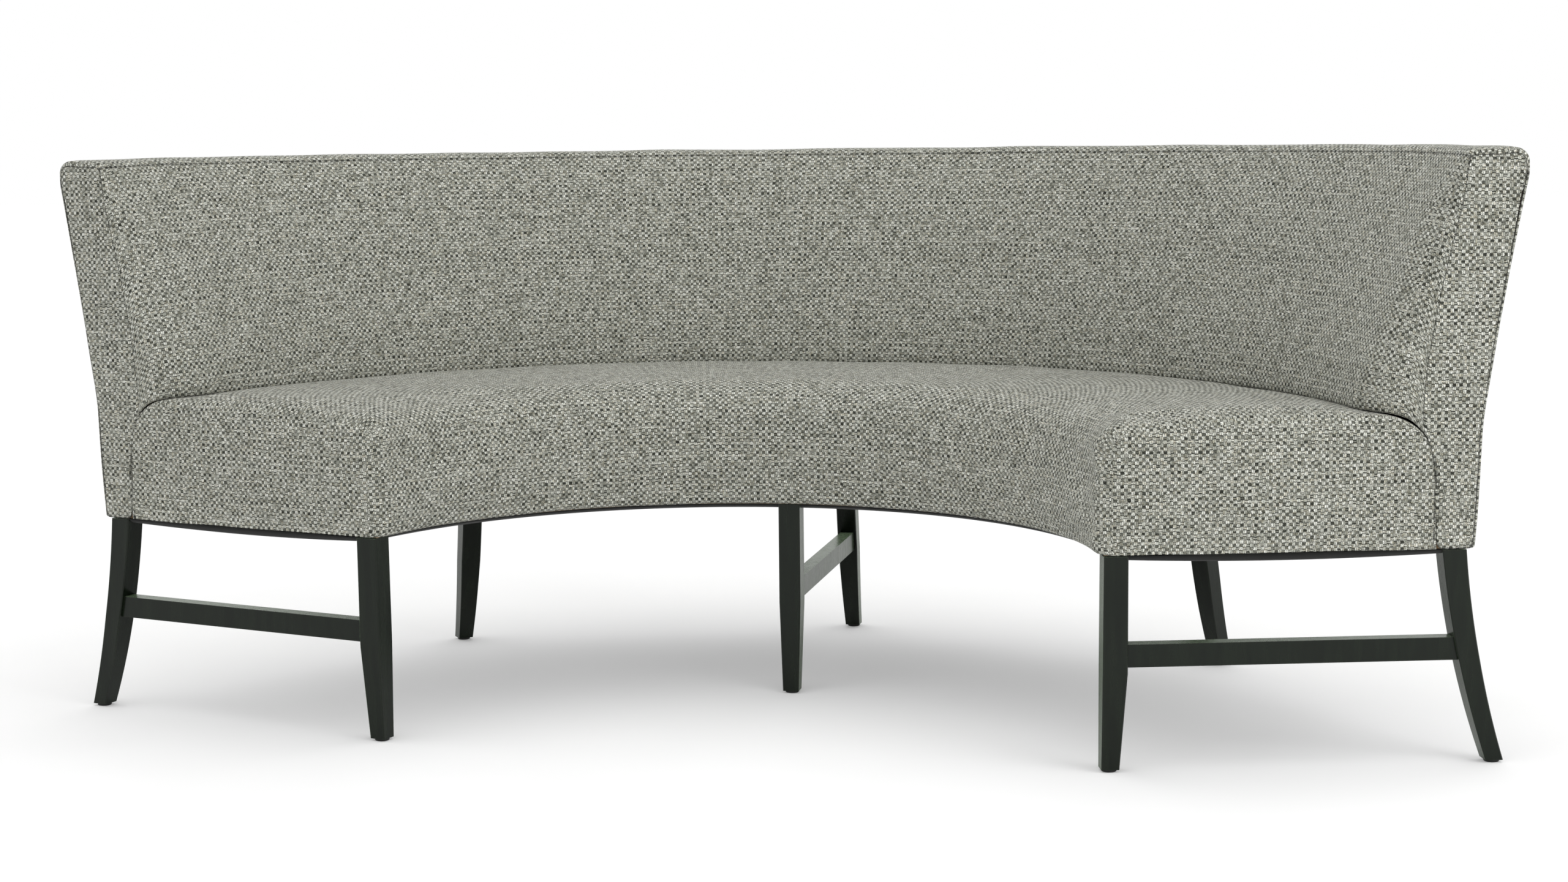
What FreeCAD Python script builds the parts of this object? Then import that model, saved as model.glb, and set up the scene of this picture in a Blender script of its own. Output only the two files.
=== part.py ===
import FreeCAD, Part
import math
import os
import Sketcher

# Curved upholstered banquette bench: an arc of seat and back on eight legs.
# Each piece is drawn in the arc's own frame, with the arc's centre at the origin,
# the radius along X and the floor at zero, and is then turned to its place.
# Lengths are in millimetres and angles in degrees.

SIZES = [
    ("total_height", 880, "floor to the top of the back"),
    ("base_height", 313, "floor to the lower edge of the covers"),
    ("seat_front_radius", 546, "arc centre to the front face of the seat"),
    ("seat_depth", 489, "front face to rear face of the seat"),
    ("seat_rise", 187, "lower edge of the covers to the seat's edges before rounding"),
    ("seat_crown", 11, "rise of the seat between its edges"),
    ("seat_front_round", 40, "rounding of the seat's front edge"),
    ("seat_rear_round", 80, "rounding of the seat's rear edge"),
    ("seat_end_round", 14, "rounding of the seat's end edges"),
    ("back_foot_reach", 55, "seat's rear face to the outer face at the lower edge"),
    ("back_waist_reach", 7, "outer face at the waist beyond its lower edge"),
    ("waist_drop", 10, "waist below the seat's edges, where the outer face starts to lean"),
    ("back_top_reach", 65, "outer face at the top beyond the waist, before rounding"),
    ("back_top_round", 26, "rounding of the outer top edge"),
    ("pad_root_depth", 136, "seat's rear face to the root of the back pad in the seat"),
    ("pad_root_drop", 78, "root of the back pad below the seat's edges"),
    ("pad_top_depth", 93, "thickness of the back at the top"),
    ("pad_crown", 7, "swell of the back pad's front"),
    ("pad_end_round", 45, "rounding of the back pad at the two ends"),
    ("hem_drop", 60, "lower edge of the turned hem below the top"),
    ("outside_seam_drop", 30, "top edge of the outside cover below the top"),
    ("leg_line_angle", 74.5, "angle of the end frames from the middle"),
    ("end_overhang", 19, "leg line to the end face of the covers"),
    ("spare_angle", 6, "arc beyond the end frames that the end planes trim off"),
    ("fabric", 2, "thickness of the woven cover and its lining"),
    ("front_foam", 12, "foam in front of the front rail"),
    ("end_foam", 6, "foam over the end frames"),
    ("top_foam", 10, "foam over the top rail"),
    ("soft_gap", 0.3, "space between the foam and the frame"),
    ("rail_height", 117, "height of the seat rails"),
    ("rail_thickness", 26, "thickness of the curved seat rails"),
    ("deck_rise", 10, "underside of the seat foam above the seat rails"),
    ("cross_thickness", 22, "thickness of the cross rails and posts"),
    ("block_side", 58, "legs of the triangular corner blocks"),
    ("block_height", 70, "height of the corner blocks"),
    ("leg_width", 35, "side of the square legs at the top"),
    ("foot_width", 26, "side of the square legs at the foot"),
    ("front_leg_inset", 30, "seat's front face to the middle of a front leg's top"),
    ("front_foot_set", 6, "middle of a front foot in front of the leg's top"),
    ("back_leg_inset", 30, "back's lower edge to the middle of a back leg's top"),
    ("back_foot_sweep", 66, "middle of a back foot behind the leg's top"),
    ("leg_bow", 9, "hollow of the back legs' outer faces"),
    ("leg_chamfer", 1.5, "chamfer along the legs' edges"),
    ("rear_taper_drop", 8, "start of a front leg's rear taper below the stretcher"),
    ("stretcher_bottom", 152, "floor to the stretchers"),
    ("stretcher_height", 33, "height of the stretchers"),
    ("stretcher_thickness", 24, "thickness of the stretchers"),
    ("tenon_height", 20, "height of the stretchers' tenons"),
    ("tenon_thickness", 10, "thickness of the stretchers' tenons"),
    ("tenon_length", 18, "depth of the tenons in the front legs"),
    ("stretcher_reach", 13, "stretchers' fitting length beyond the back legs' top middle"),
    ("back_tenon_reach", 23, "rear tenons beyond the back legs' top middle"),
    ("glide_height", 4, "thickness of the glides"),
    ("glide_radius", 11, "radius of the glides"),
    ("glide_edge", 1, "chamfer around the glides"),
    ("nail_radius", 1.2, "radius of the glides' nails"),
    ("nail_length", 16, "length of the glides' nails in the legs"),
    ("bolt_radius", 4, "radius of the hanger bolts"),
    ("bolt_depth", 36, "depth of the hanger bolts in the legs"),
    ("bolt_reach", 30, "height of the hanger bolts above the legs"),
    ("insert_radius", 6, "radius of the threaded inserts"),
    ("insert_length", 20, "length of the threaded inserts"),
    ("dust_cover", 1, "thickness of the dust cover"),
    ("outer_board", 3, "thickness of the board behind the outside cover"),
    ("board_foot_gap", 4, "board's lower edge above the cover's"),
    ("board_fit", 0.1, "space between the board and the posts"),
    ("post_bend_rise", 2, "post's inner bend above the lower back rail"),
    ("post_depth", 34, "depth of a post at its top"),
    ("top_rail_height", 33, "height of the top rail"),
    ("top_rail_depth", 42, "depth of the top rail"),
    ("lower_rail_height", 50, "height of the lower back rail"),
    ("lower_rail_depth", 24, "depth of the lower back rail"),
    ("lower_rail_rise", 15, "lower back rail above the seat rails"),
    ("web_thickness", 1.5, "thickness of the back webbing"),
    ("web_angle", 3.2, "arc that one band of webbing covers"),
    ("web_grip", 30, "webbing held on the top rail"),
    ("screw_radius", 2.5, "radius of the frame screws"),
    ("screw_length", 34, "length of the screws through the posts"),
    ("screw_head_radius", 5, "radius of the screw heads"),
    ("screw_head", 3, "thickness of the screw heads"),
    ("screw_inset", 38, "post screws from the rail's top and lower edges"),
    ("long_screw", 62, "length of the screws down through the top rail"),
    ("wire_radius", 1.9, "radius of the spring wire"),
    ("spring_width", 46, "width of a sinuous spring"),
    ("clip_width", 16, "width of a spring clip"),
    ("clip_plate", 1.5, "thickness of a spring clip"),
    ("clip_foot", 20, "length of a spring clip on the rail"),
    ("clip_gap", 0.1, "space between a clip and its wire"),
    ("felt", 4, "thickness of the insulator felt"),
    ("felt_margin", 6, "felt's edges from the seat rails"),
    ("overrun", 40, "reach of cutting shapes past what they cut"),
]

ROW_SHARES = {"left": -1, "mid_left": -0.5, "centre": 0, "mid_right": 0.5, "right": 1}
FRONT_SIDES = ["left", "centre", "right"]
POST_SHARES = {
    "left_end": -1, "left_outer": -0.75, "left_mid": -0.5, "left_inner": -0.25, "centre": 0,
    "right_inner": 0.25, "right_mid": 0.5, "right_outer": 0.75, "right_end": 1,
}
SPRINGS_PER_BAY = 4
SPRING_BARS = 16
WEBS_PER_BAY = 2

document = FreeCAD.newDocument("curved_banquette")
sheet = document.addObject("Spreadsheet::Sheet", "Sizes")
for row, (alias, number, meaning) in enumerate(SIZES, start=1):
    sheet.set(f"A{row}", meaning)
    sheet.set(f"B{row}", str(number))
    sheet.setAlias(f"B{row}", alias)
document.recompute()

# Sizes worked out from the driving ones, as expressions on the sheet
SEAT_REAR = "(Sizes.seat_front_radius + Sizes.seat_depth)"
SEAT_EDGE = "(Sizes.base_height + Sizes.seat_rise)"
BACK_FOOT = f"({SEAT_REAR} + Sizes.back_foot_reach)"
BACK_WAIST = f"({BACK_FOOT} + Sizes.back_waist_reach)"
BACK_TOP = f"({BACK_WAIST} + Sizes.back_top_reach)"
WAIST = f"({SEAT_EDGE} - Sizes.waist_drop)"
PAD_ROOT = f"({SEAT_REAR} - Sizes.pad_root_depth)"
PAD_ROOT_HEIGHT = f"({SEAT_EDGE} - Sizes.pad_root_drop)"
PAD_TOP = f"({BACK_TOP} - Sizes.pad_top_depth)"
HEM_HEIGHT = "(Sizes.total_height - Sizes.hem_drop)"
OUTSIDE_SEAM = "(Sizes.total_height - Sizes.outside_seam_drop)"
FRONT_LEG = "(Sizes.seat_front_radius + Sizes.front_leg_inset)"
FRONT_FOOT = f"({FRONT_LEG} - Sizes.front_foot_set)"
BACK_LEG = f"({BACK_FOOT} - Sizes.back_leg_inset)"
REAR_FOOT = f"({BACK_LEG} + Sizes.back_foot_sweep)"
LEG_TOPS = {"front": FRONT_LEG, "back": BACK_LEG}
FEET = {"front": FRONT_FOOT, "back": REAR_FOOT}
RAIL_TOP = "(Sizes.base_height + Sizes.rail_height)"
DECK = f"({RAIL_TOP} + Sizes.deck_rise)"
FRONT_RAIL = "(Sizes.seat_front_radius + Sizes.fabric + Sizes.front_foam)"
FRONT_RAIL_REAR = f"({FRONT_RAIL} + Sizes.rail_thickness)"
BACK_RAIL = f"({BACK_LEG} - Sizes.rail_thickness / 2)"
BACK_RAIL_REAR = f"({BACK_LEG} + Sizes.rail_thickness / 2)"
LEG_TOP = "(Sizes.base_height - Sizes.dust_cover)"
BOARD_DEPTH = "(2 * Sizes.fabric + Sizes.outer_board)"
POST_FACE = f"({BOARD_DEPTH} + Sizes.board_fit)"
LEAN = f"(Sizes.back_top_reach / (Sizes.total_height - {WAIST}))"
LOWER_LEAN = f"(Sizes.back_waist_reach / ({WAIST} - Sizes.base_height))"
COVER_TOP = "(Sizes.total_height - Sizes.fabric)"
TOP_RAIL_TOP = f"({COVER_TOP} - Sizes.top_foam)"
TOP_RAIL_FOOT = f"({TOP_RAIL_TOP} - Sizes.top_rail_height)"
LOWER_RAIL_FOOT = f"({RAIL_TOP} + Sizes.lower_rail_rise)"
LOWER_RAIL_TOP = f"({LOWER_RAIL_FOOT} + Sizes.lower_rail_height)"
LOWER_RAIL = f"({SEAT_REAR} + Sizes.web_thickness)"
LOWER_RAIL_REAR = f"({LOWER_RAIL} + Sizes.lower_rail_depth)"
FRAME_END = "(Sizes.end_overhang - Sizes.fabric - Sizes.end_foam)"
COVER_END = "(Sizes.end_overhang - Sizes.fabric)"
HALF_ARC = "(Sizes.leg_line_angle + Sizes.spare_angle)"
CORNER_RADIUS = "(Sizes.seat_front_radius + Sizes.seat_end_round)"
CORNER_INSET = "(Sizes.end_overhang - Sizes.seat_end_round)"
NEAR_EDGE = (f"(sqrt({CORNER_RADIUS} ^ 2 - {CORNER_INSET} ^ 2) * cos(Sizes.leg_line_angle)"
             f" - {CORNER_INSET} * sin(Sizes.leg_line_angle) - Sizes.seat_end_round)")


def outer_face(height):
    """Return the radius of the leaning outer face at a height above the waist."""
    return f"({BACK_WAIST} + {LEAN} * ({height} - {WAIST}))"


def lower_face(height):
    """Return the radius of the outer face at a height below the waist."""
    return f"({BACK_FOOT} + {LOWER_LEAN} * ({height} - Sizes.base_height))"


FAR_EDGE = outer_face(OUTSIDE_SEAM)
ARC_CENTRE = f"(({NEAR_EDGE} + {FAR_EDGE}) / 2)"
TOP_RAIL_REAR = f"({outer_face(TOP_RAIL_FOOT)} - {BOARD_DEPTH})"
TOP_RAIL_FRONT = f"({TOP_RAIL_REAR} - Sizes.top_rail_depth)"


def amount(expression):
    """Work out an expression on the sheet."""
    return float(sheet.evalExpression(str(expression)))


def bind(item, **expressions):
    """Bind an object's properties to expressions on the sheet."""
    for name, expression in expressions.items():
        item.setExpression(name, str(expression))
    return item


def centre_of_arc(start, end, radius, side):
    """Find the centre of the arc from start to end that swells to one side."""
    chord = end - start
    rise = math.sqrt(max(radius ** 2 - (chord.Length / 2) ** 2, 0))
    normal = FreeCAD.Vector(chord.y, -chord.x, 0).normalize()
    return (start + end) / 2 - normal * rise * side


def draw_outline(body, role, corners, arcs=None):
    """Draw a closed outline on one of the body's planes.

    corners holds pairs of expressions. arcs maps a corner's number to the
    radius and the side, 1 or -1, of an arc from it to the next corner.
    """
    arcs = arcs or {}
    sketch = body.newObject("Sketcher::SketchObject", "Outline")
    plane = [item for item in body.Origin.OriginFeatures if item.Role == role][0]
    sketch.AttachmentSupport = [(plane, "")]
    sketch.MapMode = "FlatFace"
    points = [FreeCAD.Vector(amount(across), amount(up), 0) for across, up in corners]
    count = len(points)
    for index, start in enumerate(points):
        end = points[(index + 1) % count]
        if index in arcs:
            radius, side = arcs[index]
            centre = centre_of_arc(start, end, amount(radius), side)
            middle = (start + end) / 2 - centre
            middle = centre + middle.normalize() * amount(radius)
            sketch.addGeometry(Part.Arc(start, middle, end), False)
        else:
            sketch.addGeometry(Part.LineSegment(start, end), False)
    # The drawn arc may run from its end to its start, so its ends are looked up
    starts = []
    ends = []
    for index, start in enumerate(points):
        first = sketch.getPoint(index, 1)
        forwards = first.distanceToPoint(start) < sketch.getPoint(index, 2).distanceToPoint(start)
        starts.append(1 if forwards else 2)
        ends.append(2 if forwards else 1)
    for index in range(count):
        following = (index + 1) % count
        sketch.addConstraint(Sketcher.Constraint(
            "Coincident", index, ends[index], following, starts[following]))
    for index, (across, up) in enumerate(corners):
        for kind, expression, drawn in [
                ("DistanceX", across, points[index].x), ("DistanceY", up, points[index].y)]:
            number = sketch.addConstraint(Sketcher.Constraint(
                kind, -1, 1, index, starts[index], drawn))
            name = f"{kind}_{index}"
            sketch.renameConstraint(number, name)
            sketch.setExpression(f"Constraints.{name}", str(expression))
    for index, (radius, side) in arcs.items():
        number = sketch.addConstraint(Sketcher.Constraint("Radius", index, amount(radius)))
        sketch.renameConstraint(number, f"Radius_{index}")
        sketch.setExpression(f"Constraints.Radius_{index}", str(radius))
    return sketch


def turned(name, corners, arcs=None, angle=f"2 * {HALF_ARC}"):
    """Turn an outline of radius and height about the arc's axis."""
    body = document.addObject("PartDesign::Body", name)
    sketch = draw_outline(body, "XZ_Plane", corners, arcs)
    turn = body.newObject("PartDesign::Revolution", "Turn")
    turn.Profile = sketch
    turn.ReferenceAxis = (sketch, ["V_Axis"])
    turn.Midplane = True
    bind(turn, Angle=angle)
    document.recompute()
    return body


def padded(name, role, corners, thickness, arcs=None):
    """Give an outline a thickness, half on each side of its plane."""
    body = document.addObject("PartDesign::Body", name)
    sketch = draw_outline(body, role, corners, arcs)
    pad = body.newObject("PartDesign::Pad", "Thickness")
    pad.Profile = sketch
    pad.Midplane = True
    bind(pad, Length=thickness)
    document.recompute()
    return body


def rounded_body(body, radius, pick):
    """Round those edges of a body that pick accepts."""
    base = body.Tip
    fillet = body.newObject("PartDesign::Fillet", "Round")
    fillet.Base = (base, edge_names(base.Shape, pick))
    bind(fillet, Radius=radius)
    document.recompute()
    return body


def edge_names(shape, pick):
    """List the names of a shape's edges that pick accepts."""
    return [f"Edge{number}" for number, edge in enumerate(shape.Edges, start=1) if pick(edge)]


def cut(name, base, *tools):
    """Cut tools from a base, one after the other."""
    for number, tool in enumerate(tools, start=1):
        piece = document.addObject("Part::Cut", name if number == len(tools) else f"{name}_cut")
        piece.Base = base
        piece.Tool = tool
        base = piece
    document.recompute()
    return base


def joined(name, kind, *pieces):
    """Join pieces as a Part::MultiFuse, Part::MultiCommon or Part::Compound."""
    group = document.addObject(kind, name)
    if kind == "Part::Compound":
        group.Links = list(pieces)
    else:
        group.Shapes = list(pieces)
    document.recompute()
    return group


def cylinder(name, radius, height, **base):
    """Make an upright cylinder at an expression-bound place."""
    piece = document.addObject("Part::Cylinder", name)
    bind(piece, Radius=radius, Height=height)
    for axis, expression in base.items():
        piece.setExpression(f"Placement.Base.{axis}", str(expression))
    return piece


def end_trim(name, overhang):
    """Make the two blocks that lie beyond the end planes at an overhang."""
    reach = f"({BACK_TOP} + Sizes.overrun)"
    blocks = []
    for side, start in [(1, overhang), (-1, f"({overhang} + {reach})")]:
        block = document.addObject("Part::Box", f"{name}_block")
        bind(block, Length=reach, Width=reach, Height="Sizes.total_height + 2 * Sizes.overrun")
        block.setExpression("Placement.Base.x", f"-{start} * sin(Sizes.leg_line_angle)")
        block.setExpression("Placement.Base.y", f"{side} * {start} * cos(Sizes.leg_line_angle)")
        block.setExpression("Placement.Base.z", "-Sizes.overrun")
        block.setExpression("Placement.Rotation.Angle", f"{side} * Sizes.leg_line_angle")
        blocks.append(block)
    return joined(name, "Part::MultiFuse", *blocks)


def on_end_plane(edge, overhang):
    """Tell whether an edge lies in one of the end planes and isn't its lower edge."""
    line = math.radians(amount("Sizes.leg_line_angle"))
    flat = amount("Sizes.soft_gap")
    first, last = edge.ParameterRange
    spots = [edge.valueAt(first + (last - first) * share) for share in (0, 0.5, 1)]
    offsets = [abs(spot.y) * math.cos(line) - spot.x * math.sin(line) for spot in spots]
    above = spots[1].z > amount("Sizes.base_height") + flat
    return above and all(abs(offset - amount(overhang)) < flat for offset in offsets)


def rounded_ends(name, base, overhang, radius, pick=lambda edge: True):
    """Round the edges of a base that lie in its end planes."""
    piece = document.addObject("Part::Fillet", name)
    piece.Base = base
    size = amount(radius)
    piece.Edges = [
        (number, size, size) for number, edge in enumerate(base.Shape.Edges, start=1)
        if on_end_plane(edge, overhang) and pick(edge)]
    document.recompute()
    return piece


SUB_PARTS = []


def place(piece, label, share=0):
    """Name a finished piece and turn it to its place along the arc."""
    piece.Label = label
    piece.setExpression("Placement.Rotation.Angle", f"90 - {share} * Sizes.leg_line_angle")
    piece.setExpression("Placement.Base.y", f"-{ARC_CENTRE}")
    SUB_PARTS.append(piece)
    return piece


def bow_radius(chord, bow):
    """Give the radius of an arc from its chord and its rise."""
    return f"({chord} ^ 2 / (8 * {bow}) + {bow} / 2)"


# Seat: the full form, its inside, and the foam and cover that they bound

def seat_block(name, inset):
    """Make the seat's full section, drawn in by an inset and longer than the seat."""
    front = f"(Sizes.seat_front_radius + {inset})"
    rear = f"({SEAT_REAR} - {inset})"
    edge = f"({SEAT_EDGE} - {inset})"
    crown = bow_radius(f"({rear} - {front})", "Sizes.seat_crown")
    corners = [(front, "Sizes.base_height"), (front, edge), (rear, edge),
               (rear, "Sizes.base_height")]
    body = turned(name, corners, {1: (crown, -1)})
    for radius, rounding in [(front, "seat_front_round"), (rear, "seat_rear_round")]:
        target = amount(radius)

        def pick(edge_line):
            middle = edge_line.BoundBox.Center
            level = abs(middle.z - amount(edge)) < amount("Sizes.soft_gap")
            curve = getattr(edge_line.Curve, "Radius", 0)
            return level and abs(curve - target) < amount("Sizes.soft_gap")

        rounded_body(body, f"Sizes.{rounding} - {inset}", pick)
    return body


frame_trim = end_trim("Frame_trim", FRAME_END)
inner_trim = end_trim("Inner_trim", COVER_END)
outer_trim = end_trim("Outer_trim", "Sizes.end_overhang")

seat_space = cut("Seat_space", turned("Seat_space_block", [
    (FRONT_RAIL, "Sizes.base_height"), (FRONT_RAIL, DECK),
    (BACK_RAIL_REAR, DECK), (BACK_RAIL_REAR, "Sizes.base_height")]), frame_trim)
seat_outer_block = seat_block("Seat_outer_block", 0)
seat_inner_block = seat_block("Seat_inner_block", "Sizes.fabric")
seat_outer = rounded_ends(
    "Seat_outer", cut("Seat_outer_cut", seat_outer_block, outer_trim),
    "Sizes.end_overhang", "Sizes.seat_end_round")
seat_inner = rounded_ends(
    "Seat_inner", cut("Seat_inner_cut", seat_inner_block, inner_trim),
    COVER_END, "Sizes.seat_end_round - Sizes.fabric")
place(cut("Seat_foam", seat_inner, seat_space), "seat_foam")
place(cut("Seat_cover", seat_outer, seat_inner, seat_space), "seat_cover")


# Back: the pad's form, its inside, and the foam and covers that they bound

def back_form(name, front_inset, top_inset, outer_inset, overhang, end_round, trim):
    """Make the back's full form, drawn in by insets and rounded at its ends."""
    top = f"(Sizes.total_height - {top_inset})"
    root = f"({PAD_ROOT} + {front_inset})"
    lip = f"({PAD_TOP} + {front_inset})"
    chord = f"sqrt(({lip} - {root}) ^ 2 + ({top} - {PAD_ROOT_HEIGHT}) ^ 2)"
    corners = [
        (root, PAD_ROOT_HEIGHT),
        (lip, top),
        (f"{outer_face(top)} - {outer_inset}", top),
        (f"{BACK_WAIST} - {outer_inset}", WAIST),
        (f"{BACK_FOOT} - {outer_inset}", "Sizes.base_height"),
        (SEAT_REAR, "Sizes.base_height"),
        (SEAT_REAR, PAD_ROOT_HEIGHT),
    ]
    body = turned(name + "_block", corners, {0: (bow_radius(chord, "Sizes.pad_crown"), -1)})
    rim = amount(f"{outer_face(top)} - {outer_inset}")
    rounded_body(body, f"Sizes.back_top_round - {top_inset}",
                 lambda edge: abs(getattr(edge.Curve, "Radius", 0) - rim) < amount("Sizes.soft_gap")
                 and abs(edge.BoundBox.Center.z - amount(top)) < amount("Sizes.soft_gap"))
    trimmed = cut(name + "_cut", body, trim)
    middle = amount(f"({root} + {lip}) / 2")
    low = amount(PAD_ROOT_HEIGHT)

    def is_front(edge):
        box = edge.BoundBox
        centre = box.Center
        reaches = box.ZLength > (amount(top) - low) / 2
        return reaches and math.hypot(centre.x, centre.y) < middle + amount("Sizes.pad_crown")

    return rounded_ends(name, trimmed, overhang, end_round, is_front)


back_outer = back_form("Back_outer", "0", "0", "Sizes.fabric", "Sizes.end_overhang",
                       "Sizes.pad_end_round", outer_trim)
back_inner = back_form("Back_inner", "Sizes.fabric", "Sizes.fabric", "2 * Sizes.fabric",
                       COVER_END, "Sizes.pad_end_round - Sizes.fabric", inner_trim)
BEYOND = f"({BACK_TOP} + Sizes.overrun)"
WEB_FRONT = f"({LOWER_RAIL} - Sizes.web_thickness - Sizes.soft_gap)"
WEB_TOP_FRONT = f"({TOP_RAIL_FRONT} - Sizes.web_thickness - Sizes.soft_gap)"
SEAT_SIDE = f"({SEAT_REAR} - Sizes.seat_rear_round)"
back_space = cut("Back_space", turned("Back_space_block", [
    (SEAT_SIDE, "Sizes.base_height"), (SEAT_SIDE, DECK),
    (WEB_FRONT, DECK), (WEB_FRONT, LOWER_RAIL_TOP),
    (WEB_TOP_FRONT, TOP_RAIL_FOOT), (WEB_TOP_FRONT, TOP_RAIL_TOP),
    (BEYOND, TOP_RAIL_TOP), (BEYOND, "Sizes.base_height")]), frame_trim)
place(cut("Back_foam", back_inner, seat_outer_block, back_space), "back_foam")
behind_hem = cut("Behind_hem", turned("Behind_hem_block", [
    (BACK_LEG, "Sizes.base_height"), (BACK_LEG, HEM_HEIGHT),
    (BEYOND, HEM_HEIGHT), (BEYOND, "Sizes.base_height")]), inner_trim)
place(cut("Back_cover", back_outer, seat_outer_block, back_inner, behind_hem), "back_cover")


def behind_back(name, start, thickness, foot, head, trim):
    """Make a sheet that follows the outer face, from a depth inside it."""
    outer = [(lower_face(foot), foot), (BACK_WAIST, WAIST),
             (outer_face(head), head)]
    corners = [(f"{radius} - {start}", height) for radius, height in outer]
    corners += [(f"{radius} - {start} - {thickness}", height) for radius, height in outer[::-1]]
    return cut(name, turned(name + "_block", corners), trim)


place(behind_back("Outside_cover", "0", "Sizes.fabric", "Sizes.base_height",
                  OUTSIDE_SEAM, outer_trim), "outside_back_cover")
BOARD_FOOT = "(Sizes.base_height + Sizes.board_foot_gap)"
place(behind_back("Outer_board", "2 * Sizes.fabric", "Sizes.outer_board", BOARD_FOOT,
                  TOP_RAIL_FOOT, frame_trim), "outer_back_board")


# Frame of the seat: two curved rails, cross rails, corner blocks

def ring(name, near, far, foot, head, trim=frame_trim):
    """Make a curved rail or sheet of rectangular section."""
    corners = [(near, foot), (near, head), (far, head), (far, foot)]
    return cut(name, turned(name + "_block", corners), trim)


def fastener(name, radius, height, reach, foot):
    """Make an upright pin at a radius on the middle line."""
    return cylinder(name, radius, height, x=reach, z=foot)


def around(name, master, shares):
    """Group turned copies of one piece, each at its share of the leg line's angle."""
    document.recompute()
    line = amount("Sizes.leg_line_angle")
    axis = FreeCAD.Vector(0, 0, 1)
    copies = []
    for share in shares:
        copy = master.Shape.copy()
        copy.rotate(FreeCAD.Vector(), axis, share * line)
        copies.append(copy)
    group = document.addObject("Part::Feature", name)
    group.Shape = Part.makeCompound(copies)
    return group


FRONT_SHARES = [ROW_SHARES[side] for side in FRONT_SIDES]
BACK_SHARES = list(ROW_SHARES.values())
BOLT_FOOT = f"({LEG_TOP} - Sizes.bolt_depth)"
BOLT_LENGTH = "(Sizes.bolt_depth + Sizes.dust_cover + Sizes.bolt_reach)"
bolts = {}
inserts = {}
for row, shares in [("front", FRONT_SHARES), ("back", BACK_SHARES)]:
    reach = LEG_TOPS[row]
    bolts[row] = fastener(f"Bolt_{row}", "Sizes.bolt_radius", BOLT_LENGTH, reach, BOLT_FOOT)
    sleeve = fastener(f"Sleeve_{row}", "Sizes.insert_radius", "Sizes.insert_length", reach,
                      "Sizes.base_height")
    inserts[row] = cut(f"Insert_{row}", sleeve, bolts[row])
bolt_rows = {row: around(f"Bolts_{row}", bolts[row], shares)
             for row, shares in [("front", FRONT_SHARES), ("back", BACK_SHARES)]}
insert_rows = {row: around(f"Inserts_{row}", inserts[row], shares)
               for row, shares in [("front", FRONT_SHARES), ("back", BACK_SHARES)]}
place(joined("Hanger_bolts", "Part::Compound", *bolt_rows.values()), "hanger_bolts")
place(joined("Threaded_inserts", "Part::Compound", *insert_rows.values()), "threaded_inserts")


def lap_face(height):
    """Return the radius of the posts' outer face at a height below the waist."""
    return f"({lower_face(height)} - {POST_FACE})"


def lying_screw(name, height):
    """Make a countersunk screw along the radius, its head flush with the posts."""
    face = lap_face(height)
    neck = f"({face} - Sizes.screw_head)"
    tip = f"({face} - Sizes.screw_length)"
    corners = [
        (tip, height), (tip, f"{height} + Sizes.screw_radius"),
        (neck, f"{height} + Sizes.screw_radius"),
        (f"({face} - Sizes.soft_gap)", f"{height} + Sizes.screw_head_radius"),
        (f"({face} - Sizes.soft_gap)", height)]
    body = document.addObject("PartDesign::Body", name)
    sketch = draw_outline(body, "XZ_Plane", corners)
    turn = body.newObject("PartDesign::Revolution", "Turn")
    turn.Profile = sketch
    turn.ReferenceAxis = (sketch, ["Edge5"])
    document.recompute()
    return body


POST_LINE = list(POST_SHARES.values())
low_screw = lying_screw("Low_screw", "(Sizes.base_height + Sizes.screw_inset)")
high_screw = lying_screw("High_screw", f"({RAIL_TOP} - Sizes.screw_inset)")
TOP_SCREW = f"(({TOP_RAIL_FRONT} + {TOP_RAIL_REAR}) / 2)"
top_screw = fastener("Top_screw", "Sizes.screw_radius", "Sizes.long_screw", TOP_SCREW,
                     f"{TOP_RAIL_TOP} - Sizes.long_screw")
post_screws = joined("Post_screws", "Part::Compound", around("Low_screws", low_screw, POST_LINE),
                     around("High_screws", high_screw, POST_LINE))
top_screws = around("Top_screws", top_screw, POST_LINE)

place(cut("Front_rail", ring("Front_rail_blank", FRONT_RAIL, FRONT_RAIL_REAR, "Sizes.base_height",
                             RAIL_TOP), bolt_rows["front"], insert_rows["front"]), "front_seat_rail")
place(cut("Back_rail", ring("Back_rail_blank", BACK_RAIL, BACK_RAIL_REAR, "Sizes.base_height",
                            RAIL_TOP), bolt_rows["back"], insert_rows["back"], post_screws),
      "back_seat_rail")
place(cut("Top_rail", ring("Top_rail_blank", TOP_RAIL_FRONT, TOP_RAIL_REAR, TOP_RAIL_FOOT,
                           TOP_RAIL_TOP), top_screws), "top_back_rail")
place(ring("Lower_rail", LOWER_RAIL, LOWER_RAIL_REAR, LOWER_RAIL_FOOT, LOWER_RAIL_TOP),
      "lower_back_rail")

for side, share in ROW_SHARES.items():
    rail = padded(f"Cross_rail_{side}", "XZ_Plane", [
        (FRONT_RAIL_REAR, "Sizes.base_height"), (FRONT_RAIL_REAR, RAIL_TOP),
        (BACK_RAIL, RAIL_TOP), (BACK_RAIL, "Sizes.base_height")], "Sizes.cross_thickness")
    shaped = cut(f"Cross_rail_{side}_fitted", rail, document.getObject("Front_rail_blank"),
                 document.getObject("Back_rail_blank"))
    place(shaped, f"cross_rail_{side}", share)


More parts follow.
